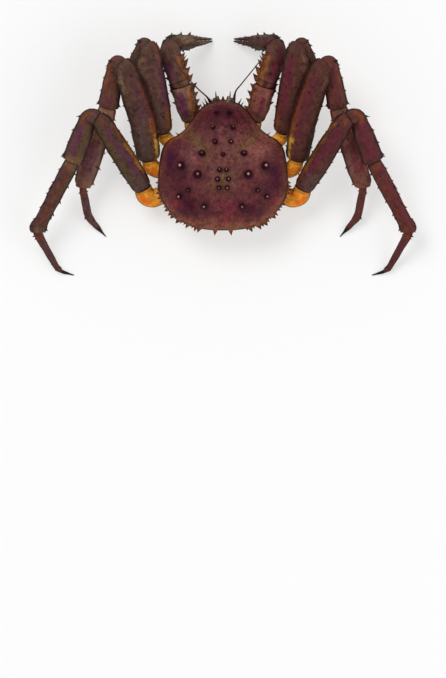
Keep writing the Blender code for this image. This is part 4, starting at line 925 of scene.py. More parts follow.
# Patches of one side alone, with x counted outwards.
SIDE_PATCHES = {
    LEFT: (
        ("branch", 46, -3, 24, 20, 0.8), ("plum", 74, 17, 14, 30, 0.8), ("violet", 77, 12, 9, 14, 0.5),
        ("plum", 50, 79, 24, 17, 0.92), ("plum", 60, 52, 14, 16, 0.6), ("violet", 66, 84, 8, 8, 0.5),
        ("red", 72, 80, 8, 7, 0.7),
    ),
    RIGHT: (
        ("bright", 54, -3, 26, 22, 0.9), ("plum", 77, 28, 12, 28, 0.72), ("violet", 76, 26, 8, 16, 0.5),
        ("plum", 39, 84, 19, 13, 0.92), ("plum", 68, 52, 15, 18, 0.7), ("red", 78, 74, 8, 12, 0.7),
    ),
}
# How strongly the pale tip of each back spine is painted, the left side's and then the right side's: partly
# the spines' own pale tips, partly a painted highlight.
TIP_HIGHLIGHTS = (
    (0.0, 0.0), (0.25, 0.2), (0.2, 0.5), (0.25, 0.25), (1.0, 0.8), (0.5, 0.9), (0.4, 0.6), (0.6, 0.8),
    (0.4, 0.8), (0.15, 0.3), (0.9, 0.8), (0.8, 0.5), (0.15,),
)

# The rim's teeth vary in size and in width, and the tail's are larger.
RIM_TOOTH_SIZES, RIM_TOOTH_WIDTH, RIM_SPINE_SUNK = (0.55, 0.8, 1.25, 1.45), (1.0, 1.7), 1.6
TAIL_SPINE_GROWTH, TAIL_SPINE_RADIUS = 1.1, 0.43 / 1.1


def carapace_spine_list(shell):
    """Roots, directions, lengths and radii of the back, brow, tail and rim spines, as the solid has them."""
    chance = random.Random("carapace spines")
    found = []
    pairs = [(side * x, y, size) for x, y, size in BACK_SPINES for side in (LEFT, RIGHT)]
    for x, y, size in [*pairs, MIDDLE_SPINE]:
        size *= chance.uniform(0.92, 1.08)
        root, out = shell.surface(x, y)
        found.append((root[0], out[0] + UP * 0.6, size, size * 0.55, "back"))
    for side in (LEFT, RIGHT):
        for x, y, size, heading, pitch in (*BROW_SPINES, TAIL_SPINE):
            direction = heading_vector(heading, pitch) * (side, 1, 1)
            root = np.array((side * x, y, CARAPACE_RIM_Z + 2.0))
            if y > 0:
                size *= TAIL_SPINE_GROWTH
                found.append((root, direction, size, size * TAIL_SPINE_RADIUS, "tail"))
            else:
                found.append((root, direction, size, size * 0.12 + 0.5, "brow"))
    rim = closed_outline(CARAPACE_OUTLINE, 240)
    left = rim[(rim[:, 0] > 0) & (rim[:, 1] >= RIM_SPINE_FROM) & (rim[:, 1] <= RIM_SPINE_TO)]
    centre = np.array((0, CARAPACE_CENTRE_Y))
    left = left[np.argsort(np.arctan2(left[:, 1] - centre[1], left[:, 0]))]
    for i in range(RIM_SPINES):
        p = left[round(i * (len(left) - 1) / (RIM_SPINES - 1))]
        share = i / (RIM_SPINES - 1)
        for side in (LEFT, RIGHT):
            size = RIM_SPINE_SHORT + (RIM_SPINE_LONG - RIM_SPINE_SHORT) * share
            size *= chance.choice(RIM_TOOTH_SIZES) * chance.uniform(0.85, 1.15)
            out = unit(p - centre)
            root = np.array((side * (p[0] - out[0]), p[1] - out[1],
                             CARAPACE_RIM_Z + chance.uniform(0.5, 2.5)))
            way = np.array((side * out[0], out[1], 0.25))
            radius = size * chance.uniform(*RIM_TOOTH_WIDTH) / 2
            found.append((root, way, size + RIM_SPINE_SUNK, radius, "rim"))
    return found


def carapace_paint(x, y, reach, points, roots):
    """The painted colour of the shell."""
    colours = SHELL_COLOURS
    paint = np.tile(colours["shell"], (len(x), 1))
    waver = noise(points, 17.0, 41) * 6
    patches = [(LEFT, *patch) for patch in SHELL_PATCHES]
    patches += [(side, *patch) for side in (LEFT, RIGHT) for patch in SIDE_PATCHES[side]]
    for side, name, cx, cy, width, length, strength in patches:
        far = ((x + waver - side * cx) / width) ** 2 + ((y + waver - cy) / length) ** 2
        paint = mix(paint, colours[name], strength * np.exp(-far))
    # A pale band along the first groove, fading towards the middle.
    far = distance_to_line(np.abs(x), y, GROOVES[0][0])
    weight = np.where(x > 0, 0.75, 0.5) * np.exp(-((far / 8.0) ** 2)) * smooth((np.abs(x) - 14) / 10)
    paint = mix(paint, colours["groove"], weight * (0.85 + 0.3 * noise(points, 5.0, 46)))
    # A paler rim, with a bright edge at the tail and at the cheeks.
    edge = smooth((reach - 0.86) / 0.12) * (0.4 + 0.45 * smooth((y - 40) / 50))
    paint = mix(paint, colours["rim"], edge * (0.8 + 0.2 * noise(points, 7.0, 43)))
    glow = smooth((reach - 0.955) / 0.04) * smooth((y - 70) / 35)
    paint = mix(paint, colours["glow"], 0.75 * glow)
    glow = smooth((reach - 0.9) / 0.08) * np.exp(-(((y + 22) / 9) ** 2)) * np.where(x > 0, 1.0, 0.6)
    paint = mix(paint, colours["glow"], 0.6 * glow)
    # Dark blotches, dust, and speckles that are densest towards the brow.
    blotch = smooth((noise(points, 9.0, 49) - 0.15) / 0.5)
    paint = mix(paint, colours["plum"], blotch * 0.3 * smooth((reach - 0.35) / 0.3))
    dust = noise(points, 2.1, 51) + 0.7 * noise(points, 4.2, 52)
    paint = paint * (1 + 0.3 * dust)[:, None]
    speckle = smooth((noise(points, 2.6, 47) + 0.6 * noise(points, 5.5, 48) - 0.2) / 0.35)
    where = 0.35 + 0.65 * np.exp(-((x / 50) ** 2) - ((y + 50) / 30) ** 2)
    paint = mix(paint, colours["plum"], speckle * where * 0.75)
    # Painted shade round the foot of each back spine, set off a little towards the tail and the crab's right,
    # and a dark line at the very edge.
    for root, size in roots:
        far = np.hypot(x - root[0] + 0.08 * size, y - root[1] - 0.12 * size) / (0.82 * size)
        paint = mix(paint, colours["dark"], 0.9 * np.exp(-(far**2)))
    line = smooth((reach - 0.974) / 0.01)
    return mix(paint, colours["dark"], 0.85 * line)


# The shell's spines: (colour, tip's colour, form, where the tip's colour begins, lean).
SPINE_LOOKS = {
    "back": ("plum", "ivory", "blunt", 0.8, (0, -0.1, 0.05)),
    "brow": ("dark", "horn", "sharp", 0.3, (0, -0.1, 0.05)),
    "rim": ("rim", "horn", "tooth", 0.45, (0, 0, 0.12)),
    "tail": ("glow", "horn", "tooth", 0.45, (0, -0.1, 0.05)),
}
CARAPACE_GRID = 261
# The lip rolls under the shell: (share of the outline, height).
LIP_RINGS = ((1.004, 58.6), (1.003, 57.0), (0.993, 55.3), (0.975, 53.6), (0.945, 52.0), (0.90, 50.9),
             (CARAPACE_TUCK, CARAPACE_UNDERSIDE_Z))


def carapace_top(shell, spine_list):
    """The dome as a square grid folded onto the outline, its lip rolled under, and a closed underside."""
    count = CARAPACE_GRID
    line = np.linspace(-1, 1, count)
    a, b = (grid.ravel() for grid in np.meshgrid(line, line, indexing="ij"))
    wide = np.abs(a) > np.abs(b)
    signed = np.where(wide, a, b)
    safe = np.where(signed == 0, 1.0, signed)
    turn = np.where(wide, math.pi / 4 * b / safe, math.pi / 2 - math.pi / 4 * a / safe)
    share = 1 - (1 - np.abs(signed)) ** 1.22
    turn = turn + np.where(signed < 0, math.pi, 0.0)
    x = np.cos(turn) * share * shell.rim(turn)
    y = np.sin(turn) * share * shell.rim(turn) + CARAPACE_CENTRE_Y
    z = shell.height(x, y)
    reach = shell.reach(x, y)
    inner = 1 - smooth((reach - 0.9) / 0.1)
    # Grooves, and a low mound under each back spine.
    for groove, depth, width in GROOVES:
        far = distance_to_line(np.abs(x), y, groove)
        z = z - depth * np.exp(-((far / width) ** 2)) * inner
    for root, _, size, _, kind in spine_list:
        if kind == "back":
            far = np.hypot(x - root[0], y - root[1]) / (0.42 * size)
            z = z + 0.13 * size * np.exp(-(far**2))
    points = np.stack([x, y, z], axis=1)
    grid = points.reshape(count, count, 3)
    normals = np.cross(np.gradient(grid, axis=0), np.gradient(grid, axis=1)).reshape(-1, 3)
    normals /= np.maximum(np.linalg.norm(normals, axis=1, keepdims=True), 1e-9)
    normals *= np.sign(normals[:, 2:].sum())
    # Uneven, pimpled skin that ends before the edge.
    relief = noise_sum(points, ((0.5, 15.0, 1), (0.16, 4.0, 2), (0.07, 1.7, 3)))
    rough = 0.35 + 0.65 * np.clip(noise(points, 24.0, 4) + 0.4, 0, 1)
    relief += (0.42 * granules(points, 3.4, 5, 0.5) + 0.2 * granules(points, 1.9, 10, 0.6)) * rough
    edge = 1 - smooth((reach - 0.975) / 0.025)
    points = points + normals * (relief * edge)[:, None]
    roots = [(root, size) for root, _, size, _, kind in spine_list if kind == "back"]
    paint = carapace_paint(x, y, reach, points, roots)
    span = np.arange(count - 1)
    corner = (span[:, None] * count + span).ravel()
    faces = [np.stack([corner, corner + count, corner + count + 1], -1),
             np.stack([corner, corner + count + 1, corner + 1], -1)]
    side = span * count
    last = count * count - 1
    border = np.concatenate([side, last - (count - 1) + span, last - side, count - 1 - span])
    centre = np.array((0, CARAPACE_CENTRE_Y, 0))
    rings = []
    for share, height in LIP_RINGS:
        ring = centre + (points[border] - centre) * share
        ring[:, 2] = height + (points[border, 2] - CARAPACE_RIM_Z) * 0.5
        rings.append(ring)
    n, start = len(border), len(points)
    # Faces of the lip and of the underside.
    before = border
    for k in range(len(rings)):
        after = start + k * n + np.arange(n)
        faces.append(np.stack([before, after, np.roll(after, -1)], -1))
        faces.append(np.stack([before, np.roll(after, -1), np.roll(before, -1)], -1))
        before = after
    middle = start + len(rings) * n
    faces.append(np.stack([before, np.full(n, middle), np.roll(before, -1)], -1))
    below = mix(paint[border], COLOURS["tan"], np.full(n, 0.3))
    under = np.tile(mix(paint[border], COLOURS["cream"], np.full(n, 0.7)), (len(rings) - 2, 1))
    points = np.concatenate([points, *rings, [(0, CARAPACE_CENTRE_Y, CARAPACE_UNDERSIDE_Z)]])
    paint = np.concatenate([paint, paint[border], below, under, [COLOURS["cream"]]])
    return Shape(points, np.concatenate(faces), paint)


def build_carapace(shell):
    spine_list = carapace_spine_list(shell)
    shapes = [carapace_top(shell, spine_list)]
    for kind, (colour, tip, form, pale_from, lean) in SPINE_LOOKS.items():
        chosen = [row for row in spine_list if row[4] == kind]
        roots, ways, sizes, radii = (np.array([row[k] for row in chosen]) for k in range(4))
        # The back spines' tips are partly painted highlights.
        light = np.concatenate(TIP_HIGHLIGHTS) if kind == "back" else 1.0
        shapes.append(spines(roots, ways, sizes, radii, SHELL_COLOURS[colour], lean, tip, 12, form, pale_from,
                             light))
    for side, colour in ((LEFT, "umber"), (RIGHT, "sand")):
        line = [(side * x, y, z) for x, y, z in ROSTRUM_HORN]
        shapes.append(horn_shape(line, ROSTRUM_HORN_RADII, COLOURS[colour]))
    shapes.append(horn_shape(ROSTRUM_BEAK, ROSTRUM_BEAK_RADII, SHELL_COLOURS["front"]))
    make_piece("carapace", shapes, LEFT, FINISHES["carapace"])


def horn_shape(line, radii, colour):
    grid, length = tube(line, radii, 10, 16)
    points, faces = capped(grid)
    share = per_point((length / length[-1])[:, None], grid.shape[:2], (0, 1))
    paint = mix(np.tile(colour, (len(points), 1)), COLOURS["horn"], smooth((share - 0.55) / 0.3))
    return Shape(points + 0.12 * noise(points, 2.2, 61)[:, None], faces, paint, smooth((share - 0.6) / 0.3))


class Segment:
    """One hard segment of a limb: a stretch of its path with a girth."""

    def __init__(self, path, start, end, size, girth, spread=NO_SPREAD, wing=NO_SPREAD):
        self.path, self.start, self.end, self.girth, self.spread = path, start, end, girth, spread
        self.wing = wing
        self.half = np.array(size) / 2
        self.length = end - start

    def size_at(self, t):
        """Half widths and half heights (n, 2) at places t."""
        girth = along_table(self.girth, t)
        return np.stack([self.half[0] * girth * along_table(self.spread, t), self.half[1] * girth], axis=1)

    def rim_point(self, t, angle):
        """Points of the plain surface at t, angle degrees round, the ways out and along there."""
        t, angle = np.atleast_1d(t).astype(float), np.radians(np.atleast_1d(angle).astype(float))
        centre, along, across, up = self.path.place(self.start + self.length * t)
        c, s = np.cos(angle), np.sin(angle)
        w, h = self.size_at(t).T
        w = w * np.where(c < 0, along_table(self.wing, t), 1.0)
        point = centre + across * (w * squared(c))[:, None] + up * (h * squared(s))[:, None]
        out = unit(across * (c / w)[:, None] + up * (s / h)[:, None])
        return point, out, along


# Ridges along segments: (angle round it, rise as a share of the girth, half width in degrees).
RIDGES = {
    "merus": ((4, 0.07, 13), (64, 0.07, 13), (178, 0.06, 14), (120, 0.035, 14)),
    "carpus": ((4, 0.07, 14), (95, 0.05, 15), (178, 0.06, 14)),
    "propodus": ((4, 0.06, 14), (90, 0.05, 16), (178, 0.06, 14)),
    "dactyl": ((0, 0.05, 16), (90, 0.07, 18), (180, 0.05, 16)),
    "coxa": ((90, 0.03, 25),),
    "palm": ((0, 0.05, 16), (90, 0.04, 20), (180, 0.05, 16)),
}
# Knobs and dents: (place along, angle round, size in mm, rise in mm).
KNOBS = {
    "claw_merus": ((0.97, 178, 7.0, 2.6), (0.98, 20, 5.0, 1.4)),
    "claw_carpus": ((0.97, 178, 6.0, 2.0), (0.05, 178, 5.0, 3.2)),
    "claw_palm": ((0.1, 190, 6.5, 4.2), (0.42, 185, 5.0, 1.2), (0.75, 2, 5.0, 1.6)),
    "leg_merus": ((0.93, 178, 6.0, 1.2), (0.93, 0, 6.0, 1.0)),
    "leg_carpus": ((0.95, 178, 5.0, 0.9), (0.95, 0, 5.0, 0.9)),
}

# A groove round a segment, where a collar ends: its place along, and its depth and half width in mm.
COLLARS = {"claw_carpus": (0.13, 1.1, 0.9)}


def limb_rows(segment, neck, last):
    """Rows of a segment's grid: (length along the path, half width, half height, share of relief)."""
    start, end = segment.start, segment.end
    rows = [(start - NECK_REACH * (1 - k / 4), *(neck * (0.55 + 0.45 * math.sin(k / 4 * math.pi / 2))), 0.0)
            for k in range(5)]
    body = np.arange(start + 0.35, end - 0.3, ROW_STEP)
    t = (body - start) / segment.length
    size = segment.size_at(t)
    grown = np.clip((body - start) / SHOULDER, 0, 1)
    size = neck + (size - neck) * np.sqrt(1 - (1 - grown[:, None]) ** 2)
    relief = smooth((body - start) / SHOULDER)
    if last:
        relief *= 1 - smooth((t - 0.8) / 0.12)
    else:
        size += LIP_RISE * np.exp(-(((end - LIP_WIDTH - body) / LIP_WIDTH) ** 2))[:, None]
        relief *= smooth((end - body) / 2.0)
    rows += [(s, w, h, share) for s, (w, h), share in zip(body, size, relief)]
    final = segment.size_at(np.array([1.0]))[0]
    if last:
        rows += [(end - 0.1, *(final * 0.8), 0.0), (end, *(final * 0.35), 0.0)]
    else:
        scale = min(1.0, final.min() / 8)
        rows += [(end - back * scale, *(final - loss * scale), 0.0) for back, loss in SOCKET_ROWS]
    return np.array(rows)


def limb_grid(segment, rows, kind):
    """The segment's grid, its coordinates across and up (-1 to 1), and the angle of each column."""
    girth = 2 * math.pi * segment.half.mean()
    columns = max(28, 4 * round(girth / COLUMN_STEP / 4))
    degrees = np.arange(columns) * 360 / columns
    x, y = squared(np.cos(np.radians(degrees))), squared(np.sin(np.radians(degrees)))
    swell = np.ones((len(rows), columns))
    for middle, rise, width in RIDGES[kind]:
        apart = (degrees - middle + 180) % 360 - 180
        swell += rise * np.exp(-((apart / width) ** 2))[None] * rows[:, 3:]
    centre, along, across, up = segment.path.place(rows[:, 0])
    wing = along_table(segment.wing, np.clip((rows[:, 0] - segment.start) / segment.length, 0, 1))
    swell_across = swell * np.where(x < 0, wing[:, None], 1.0)
    grid = (centre[:, None] + across[:, None] * (rows[:, 1:2] * x * swell_across)[..., None]
            + up[:, None] * (rows[:, 2:3] * y * swell)[..., None])
    return grid, x, y, degrees


def limb_paint(key, kind, side, t, across, up, points, length, seed):
    """Painted colour of a limb segment: strokes and lengthwise streaks, painted shade at the edges, a paler
    underside.
    """
    palette = {**COLOURS, **SIDE_COLOURS[side]}
    paint = np.tile(palette[GROUNDS.get(kind, "body")], (len(points), 1))
    # Painted light: segments that lie in shade are painted paler.
    paint = paint * PAINTED_LIGHT_LIFT.get(key, 1.0)
    if kind != "coxa":
        paint = mix(paint, palette["shade"], patchy(points, 20.0, seed, 0.08, 0.1))
    # Lengthwise streaks, and strokes of colour with wavering edges.
    streaks = noise(np.stack([t * length / 6, across * 5, up * 5], axis=1), 1.0, seed + 8)
    paint = paint * (1 + 0.3 * streaks)[:, None]
    edge = np.abs(across)
    t = t + noise_sum(points, ((0.035, 9.0, 1), (0.015, 3.0, 2)), seed)
    across = across + noise_sum(points, ((0.16, 8.0, 3), (0.08, 3.0, 4)), seed)
    where = "_right" if side == RIGHT else ""
    strokes = STROKES.get(key + where) or STROKES.get(key) or STROKES.get("leg_" + kind, ())
    for k, (name, t0, t1, u0, u1, strength, *drift) in enumerate(strokes):
        slide = drift[0] * (np.clip((t - t0) / (t1 - t0), 0, 1) - 0.5) if drift else 0.0
        weight = smooth((t - t0) / 0.1 + 0.5) * smooth((t1 - t) / 0.1 + 0.5)
        u = across - slide
        weight = weight * smooth((u - u0) / 0.3 + 0.5) * smooth((u1 - u) / 0.3 + 0.5)
        broken = 0.85 + 0.3 * noise(points, 4.5, seed + 10 + k) + 0.3 * streaks
        if name == "sand":
            broken = broken * (0.65 + 0.9 * noise(points, 2.2, seed + 30 + k))
        paint = mix(paint, palette[name], np.clip(weight * strength * broken, 0, 1))
    # Painted shade darkening the sides of the segment, a pale underside and dark flecks.
    rim = smooth((edge - 0.78) / 0.18) * smooth((up + 0.6) / 0.5)
    paint = paint * (1 - (0.45 if kind == "coxa" else 0.62) * rim)[:, None]
    below = smooth((-up - 0.25) / 0.6)
    pale = mix(np.tile(palette["tan"], (len(points), 1)), palette["cream"],
               0.5 + 0.4 * noise(points, 12.0, seed + 5))
    paint = mix(paint, pale, below * 0.75)
    fleck = smooth((noise(points, 1.9, seed + 6) + 0.5 * noise(points, 4.0, seed + 7) - 0.45) / 0.25)
    return mix(paint, palette["dark"], fleck * (0.2 if kind == "coxa" else 0.5))


def limb_segment(name, kind, segment, side, neck, spine_rows, last=False):
    """The fine shapes of one segment: its shell and all its spines."""
    key = name.rsplit("_", 1)[0]
    seed = sum(ord(letter) * (k + 3) for k, letter in enumerate(name))
    rows = limb_rows(segment, np.array(neck), last)
    grid, x, y, degrees = limb_grid(segment, rows, kind)
    shape = grid.shape[:2]
    t_row = (rows[:, 0] - segment.start) / segment.length
    flat = grid.reshape(-1, 3)
    relief = 0.42 * noise(flat, 14.0, seed) + 0.16 * noise(flat, 4.5, seed + 1)
    relief += 0.34 * granules(flat, 3.0, seed + 20, 0.45) + 0.05 * noise(flat, 1.6, seed + 2)
    rise = relief.reshape(shape) * rows[:, 3:] * min(1.0, segment.half.mean() / FULL_RELIEF_FROM)
    knobs = KNOBS.get(key) or (KNOBS.get("leg_" + kind, ()) if not key.startswith("claw") else ())
    for place, angle, wide, high in knobs:
        around = np.radians((degrees - angle + 180) % 360 - 180) * segment.half.mean()
        far = ((t_row[:, None] - place) * segment.length / wide) ** 2 + (around / wide) ** 2
        rise += high * np.exp(-2.2 * far) * (rows[:, 3:] > 0)
    place, depth, wide = COLLARS.get(key, (0.0, 0.0, 1.0))
    groove = np.exp(-(((t_row - place) * segment.length / wide) ** 2)) * (depth > 0)
    grid = grid + ring_normals(grid) * (rise - depth * groove[:, None])[..., None]
    points, faces = capped(grid)
    t = per_point(t_row[:, None], shape, (t_row[0], t_row[-1]))
    across, up = per_point(x, shape), per_point(y, shape)
    paint = limb_paint(key, kind, side, t, across, up, points, segment.length, seed)
    # Painted shade in the joint's neck, where it goes into the segment before, and in the collar's groove.
    neck_shade = per_point(1 - smooth((rows[:, :1] - segment.start - 0.2) / 1.4), shape, (1, 0))
    paint = mix(paint, COLOURS["dark"], np.maximum(neck_shade, per_point(groove[:, None], shape)) * 0.8)
    horn = np.zeros(len(points))
    if last:
        horn = smooth((t - TOE_HORN_FROM) / 0.07)
        paint = mix(paint, COLOURS["horn"], horn * 0.96)
    else:
        # Painted shade inside the socket, where the far rim turns inwards.
        socket_shade = np.arange(shape[0])[:, None] > shape[0] - len(SOCKET_ROWS) + 1
        paint = mix(paint, COLOURS["dark"], per_point(socket_shade, shape, (0, 1)) * 0.85)

    def paint_at(t, degrees, points):
        turn = np.radians(degrees)
        return limb_paint(key, kind, side, t, np.cos(turn) * 0.75, np.sin(turn), points, segment.length, seed)

    return [Shape(points, faces, paint, horn),
            *limb_spines(name, kind, segment, spine_rows, SPURS.get(key, ()), last, paint_at)]


def limb_spines(name, kind, segment, spine_rows, spurs, last, paint_at):
    """The rows of spines and spurs that the solid has, spinules round the far rim, small ones between."""
    shapes = []

    def add(t, degrees, sizes, radii, slant, lean, tip, sides, form="sharp", pale_from=0.62, lift=1.0):
        points, out, along = segment.rim_point(t, degrees)
        ways = out * lift + along * np.broadcast_to(slant, len(t))[:, None]
        paint = paint_at(t, degrees, points)
        shapes.append(spines(points, ways, sizes, radii, paint, along * lean, tip, sides, form, pale_from))

    chance = random.Random(name)
    places = []
    for angle, first, last_place, count, length in spine_rows:
        for i in range(count):
            t = first + (last_place - first) * (i / (count - 1) if count > 1 else 0)
            t += chance.uniform(-PLACE_JITTER, PLACE_JITTER)
            degrees = angle + chance.uniform(-ANGLE_JITTER, ANGLE_JITTER)
            size = length * chance.uniform(1 - LENGTH_JITTER, 1 + LENGTH_JITTER)
            places.append((t, degrees, size))
    if spurs:
        t, degrees, slant, sizes, radii = np.array(spurs).T
        add(t, degrees, sizes, radii, slant, 0.0, "horn", 12, "tooth")
    claw = name.startswith("claw")
    for on_top in (False, True):
        chosen = [place for place in places if (40 < place[1] < 140) == on_top]
        if chosen:
            t, degrees, sizes = np.array(chosen).T
            broad = CLAW_SPINE_BREADTH if claw and not on_top else LEG_SPINE_BREADTH
            sizes = sizes * (1.0 if claw else LEG_SPINE_LENGTH)
            add(t, degrees, sizes, sizes * SPINE_WIDTH * broad / 2, SPINE_LEAN, 0.18,
                None if on_top else "horn", 10, "tooth", 0.7)
    if kind == "coxa":
        return shapes
    small = random.Random(name + " small")
    count = round(segment.length * (TOE_SPINULES_PER_MM if last else SPINULES_PER_MM))
    sides = [(small.uniform(0.06, 0.74 if last else 0.94), small.uniform(-25, 205)) for _ in range(count)]
    t, degrees = np.array(sides).T
    sizes = np.array([small.uniform(0.7, 1.7) for _ in sides])
    add(t, degrees, sizes, sizes * SPINULE_RADIUS, 0.5, 0.1, "tan", 8)
    if not last:
        degrees = np.linspace(-20, 196, RIM_SPINULES) + [small.uniform(-7, 7) for _ in range(RIM_SPINULES)]
        t = np.full(RIM_SPINULES, 1 - 1.6 / segment.length)
        sizes = np.array([small.uniform(1.4, 2.8) for _ in range(RIM_SPINULES)])
        add(t, degrees, sizes, sizes * SPINULE_RADIUS, 1.0, 0.1, "horn", 8, "tooth", lift=0.8)
    return shapes


def neck_between(before, after):
    """Half width and height of the joint's neck: inside the rim before it and the root after it."""
    rim = before.size_at(np.array([1.0]))[0] - 1.2
    root = after.size_at(np.array([0.0]))[0]
    return np.minimum(rim, root) * NECK_SHARE


def build_limb(name, limb, rows, radius, side, last_end=None):
    """All segments of one limb. Returns its path and its last segment."""
    path = Path(limb["hip"], limb["runs"], radius)
    start, before = 0.0, None
    for kind, corner in limb["ends"].items():
        end = path.corner_at[corner] if corner is not None else (last_end or path.length)
        girth = limb["girth"].get(kind, GIRTH[kind])
        segment = Segment(path, start, end, limb["sizes"][kind], girth, SPREAD.get(kind, NO_SPREAD),
                          WINGS.get(f"{name}_{kind}", NO_SPREAD))
        neck = neck_between(before, segment) if before else segment.half * 0.85
        node = f"{name}_{kind}_{SIDE_NAMES[side]}"
        last = kind == "dactyl"
        finish = FINISHES["toe" if last else "coxa" if kind == "coxa" else "limb"]
        make_piece(node, limb_segment(node, kind, segment, side, neck, rows[kind], last), side, finish)
        start, before = end, segment
    return path, before


def finger_line(segment, offset, t):
    """A finger's centre line, directions and girth at places t. The two fingers draw together at the tips."""
    inside = np.clip(t, 0, 1)
    centre, along, across, up = segment.path.place(segment.start + segment.length * t)
    inward = offset * (1 - FINGER_CLOSING * inside**1.3)
    return centre + across * inward[:, None], along, across, up, along_table(FINGER_GIRTH, inside)[:, None]


def finger_grid(segment, offset, neck):
    """A claw finger's grid, flatter towards the other finger."""
    t = np.concatenate([np.linspace(-neck / segment.length, 0.9, 64), np.linspace(0.91, 1.0, 12)])
    angle = turns(FINGER_COLUMNS)
    c, s = np.cos(angle), np.sin(angle)
    centre, _, across, up, share = finger_line(segment, offset, t)
    share = share * np.sqrt(np.clip((1.006 - t) / 0.06, 0, 1))[:, None]
    x = squared(c) * np.where(c * offset < 0, FINGER_FLATNESS, 1.0)
    y = squared(s)
    grid = centre[:, None] + across[:, None] * (segment.half[0] * share * x)[..., None]
    return grid + up[:, None] * (segment.half[1] * share * y)[..., None], t, x, y


def finger_shapes(name, path, start, end, offset, side, neck):
    """A claw finger with the teeth on its inner side and spinules on its outer one."""
    seed = 7 * len(name) + (3 if offset > 0 else 11) + side
    segment = Segment(path, start, end, FINGER_SIZE, FINGER_GIRTH)
    grid, t, x, y = finger_grid(segment, offset, neck)
    shape = grid.shape[:2]
    flat = grid.reshape(-1, 3)
    relief = 0.3 * noise(flat, 8.0, seed) + 0.3 * granules(flat, 2.8, seed + 20, 0.5)
    relief = relief.reshape(shape) * (1 - smooth((t - 0.6) / 0.15))[:, None]
    points, faces = capped(grid + ring_normals(grid) * relief[..., None])
    along_it = per_point(t[:, None], shape, (t[0], 1.0))
    across, up = per_point(x, shape), per_point(y, shape)
    paint = limb_paint("claw_palm", "finger", side, along_it, across, up, points, segment.length, seed)
    horn = smooth((along_it - FINGER_HORN_FROM + 0.03 * noise(points, 4.0, seed)) / 0.07)
    shapes = [Shape(points, faces, mix(paint, COLOURS["horn"], horn * 0.96), horn)]
    place = np.linspace(0.12, 0.9, FINGER_TEETH)
    outward = math.copysign(1, offset)
    centre, _, across, _, share = finger_line(segment, offset, place)
    sizes = 1.5 + 0.5 * np.sin(place * 40)
    roots = centre - across * (outward * segment.half[0] * share * 0.78)
    shapes.append(spines(roots, -across * outward, sizes, sizes * 0.62, COLOURS["ivory"]))
    chance = random.Random(name + " small")
    place = np.array([chance.uniform(0.05, 0.65) for _ in range(FINGER_SPINULES)])
    turn = np.radians([chance.uniform(20, 160) for _ in range(FINGER_SPINULES)])[:, None]
    centre, along, across, up, share = finger_line(segment, offset, place)
    sideways, upwards = outward * across * np.abs(np.cos(turn)), up * np.sin(turn)
    roots = centre + sideways * segment.half[0] * share + upwards * segment.half[1] * share
    sizes = np.array([chance.uniform(1.2, 2.6) for _ in range(FINGER_SPINULES)])
    shapes.append(spines(roots, sideways + upwards + along * 0.4, sizes, sizes * 0.33,
                         SIDE_COLOURS[side]["claw"], along * 0.1, "horn", 8))
    return shapes


def build_claw(side):
    where = SIDE_NAMES[side]
    path = Path(CLAW["hip"], CLAW["runs"], CLAW_RADIUS)
    wrist = path.corner_at[3] + WRIST_AFTER_CORNER
    path, carpus = build_limb("claw", CLAW, CLAW_SPINE_ROWS, CLAW_RADIUS, side, wrist)
    knuckle = wrist + (path.length - wrist) * 0.5
    palm = Segment(path, wrist, knuckle, CLAW["sizes"]["palm"], GIRTH["palm"])
    name = f"claw_palm_{where}"
    shapes = limb_segment(name, "palm", palm, side, neck_between(carpus, palm), CLAW_SPINE_ROWS["palm"])
    shapes += finger_shapes(name, path, knuckle - 6.0, path.length, -FINGER_SPREAD, side, 4.0)
    make_piece(name, shapes, side, FINISHES["claw"])
    name = f"claw_finger_{where}"
    shapes = finger_shapes(name, path, knuckle + JOINT_GAP, path.length, FINGER_SPREAD, side, 3.0)
    make_piece(name, shapes, side, FINISHES["claw"])


def ball_grid(centre, radii, rows=28, columns=40):
    level = np.linspace(-math.pi / 2 + 0.02, math.pi / 2 - 0.02, rows)[:, None]
    turn = turns(columns)
    c, s = np.cos(level), np.sin(level)
    way = np.stack([c * np.cos(turn), c * np.sin(turn), np.broadcast_to(s, (rows, columns))], axis=-1)
    return way * radii + np.array(centre)


def plain_shape(grid, colour, seed, rough=0.12, other="dark"):
    points, faces = capped(grid)
    normals = np.concatenate([ring_normals(grid).reshape(-1, 3), np.zeros((2, 3))])
    points = points + normals * (rough * noise(points, 1.6, seed))[:, None]
    paint = np.tile(colour, (len(points), 1))
    return Shape(points, faces, mix(paint, COLOURS[other], patchy(points, 3.0, seed + 1, 0.3, 0.4) * 0.6))


def wavy(height, step, phase=0.0):
    """A girth that swells and narrows along a feeler or mouthpart."""
    return lambda length: 1 + height * np.sin(length * 2 * math.pi / step + phase)


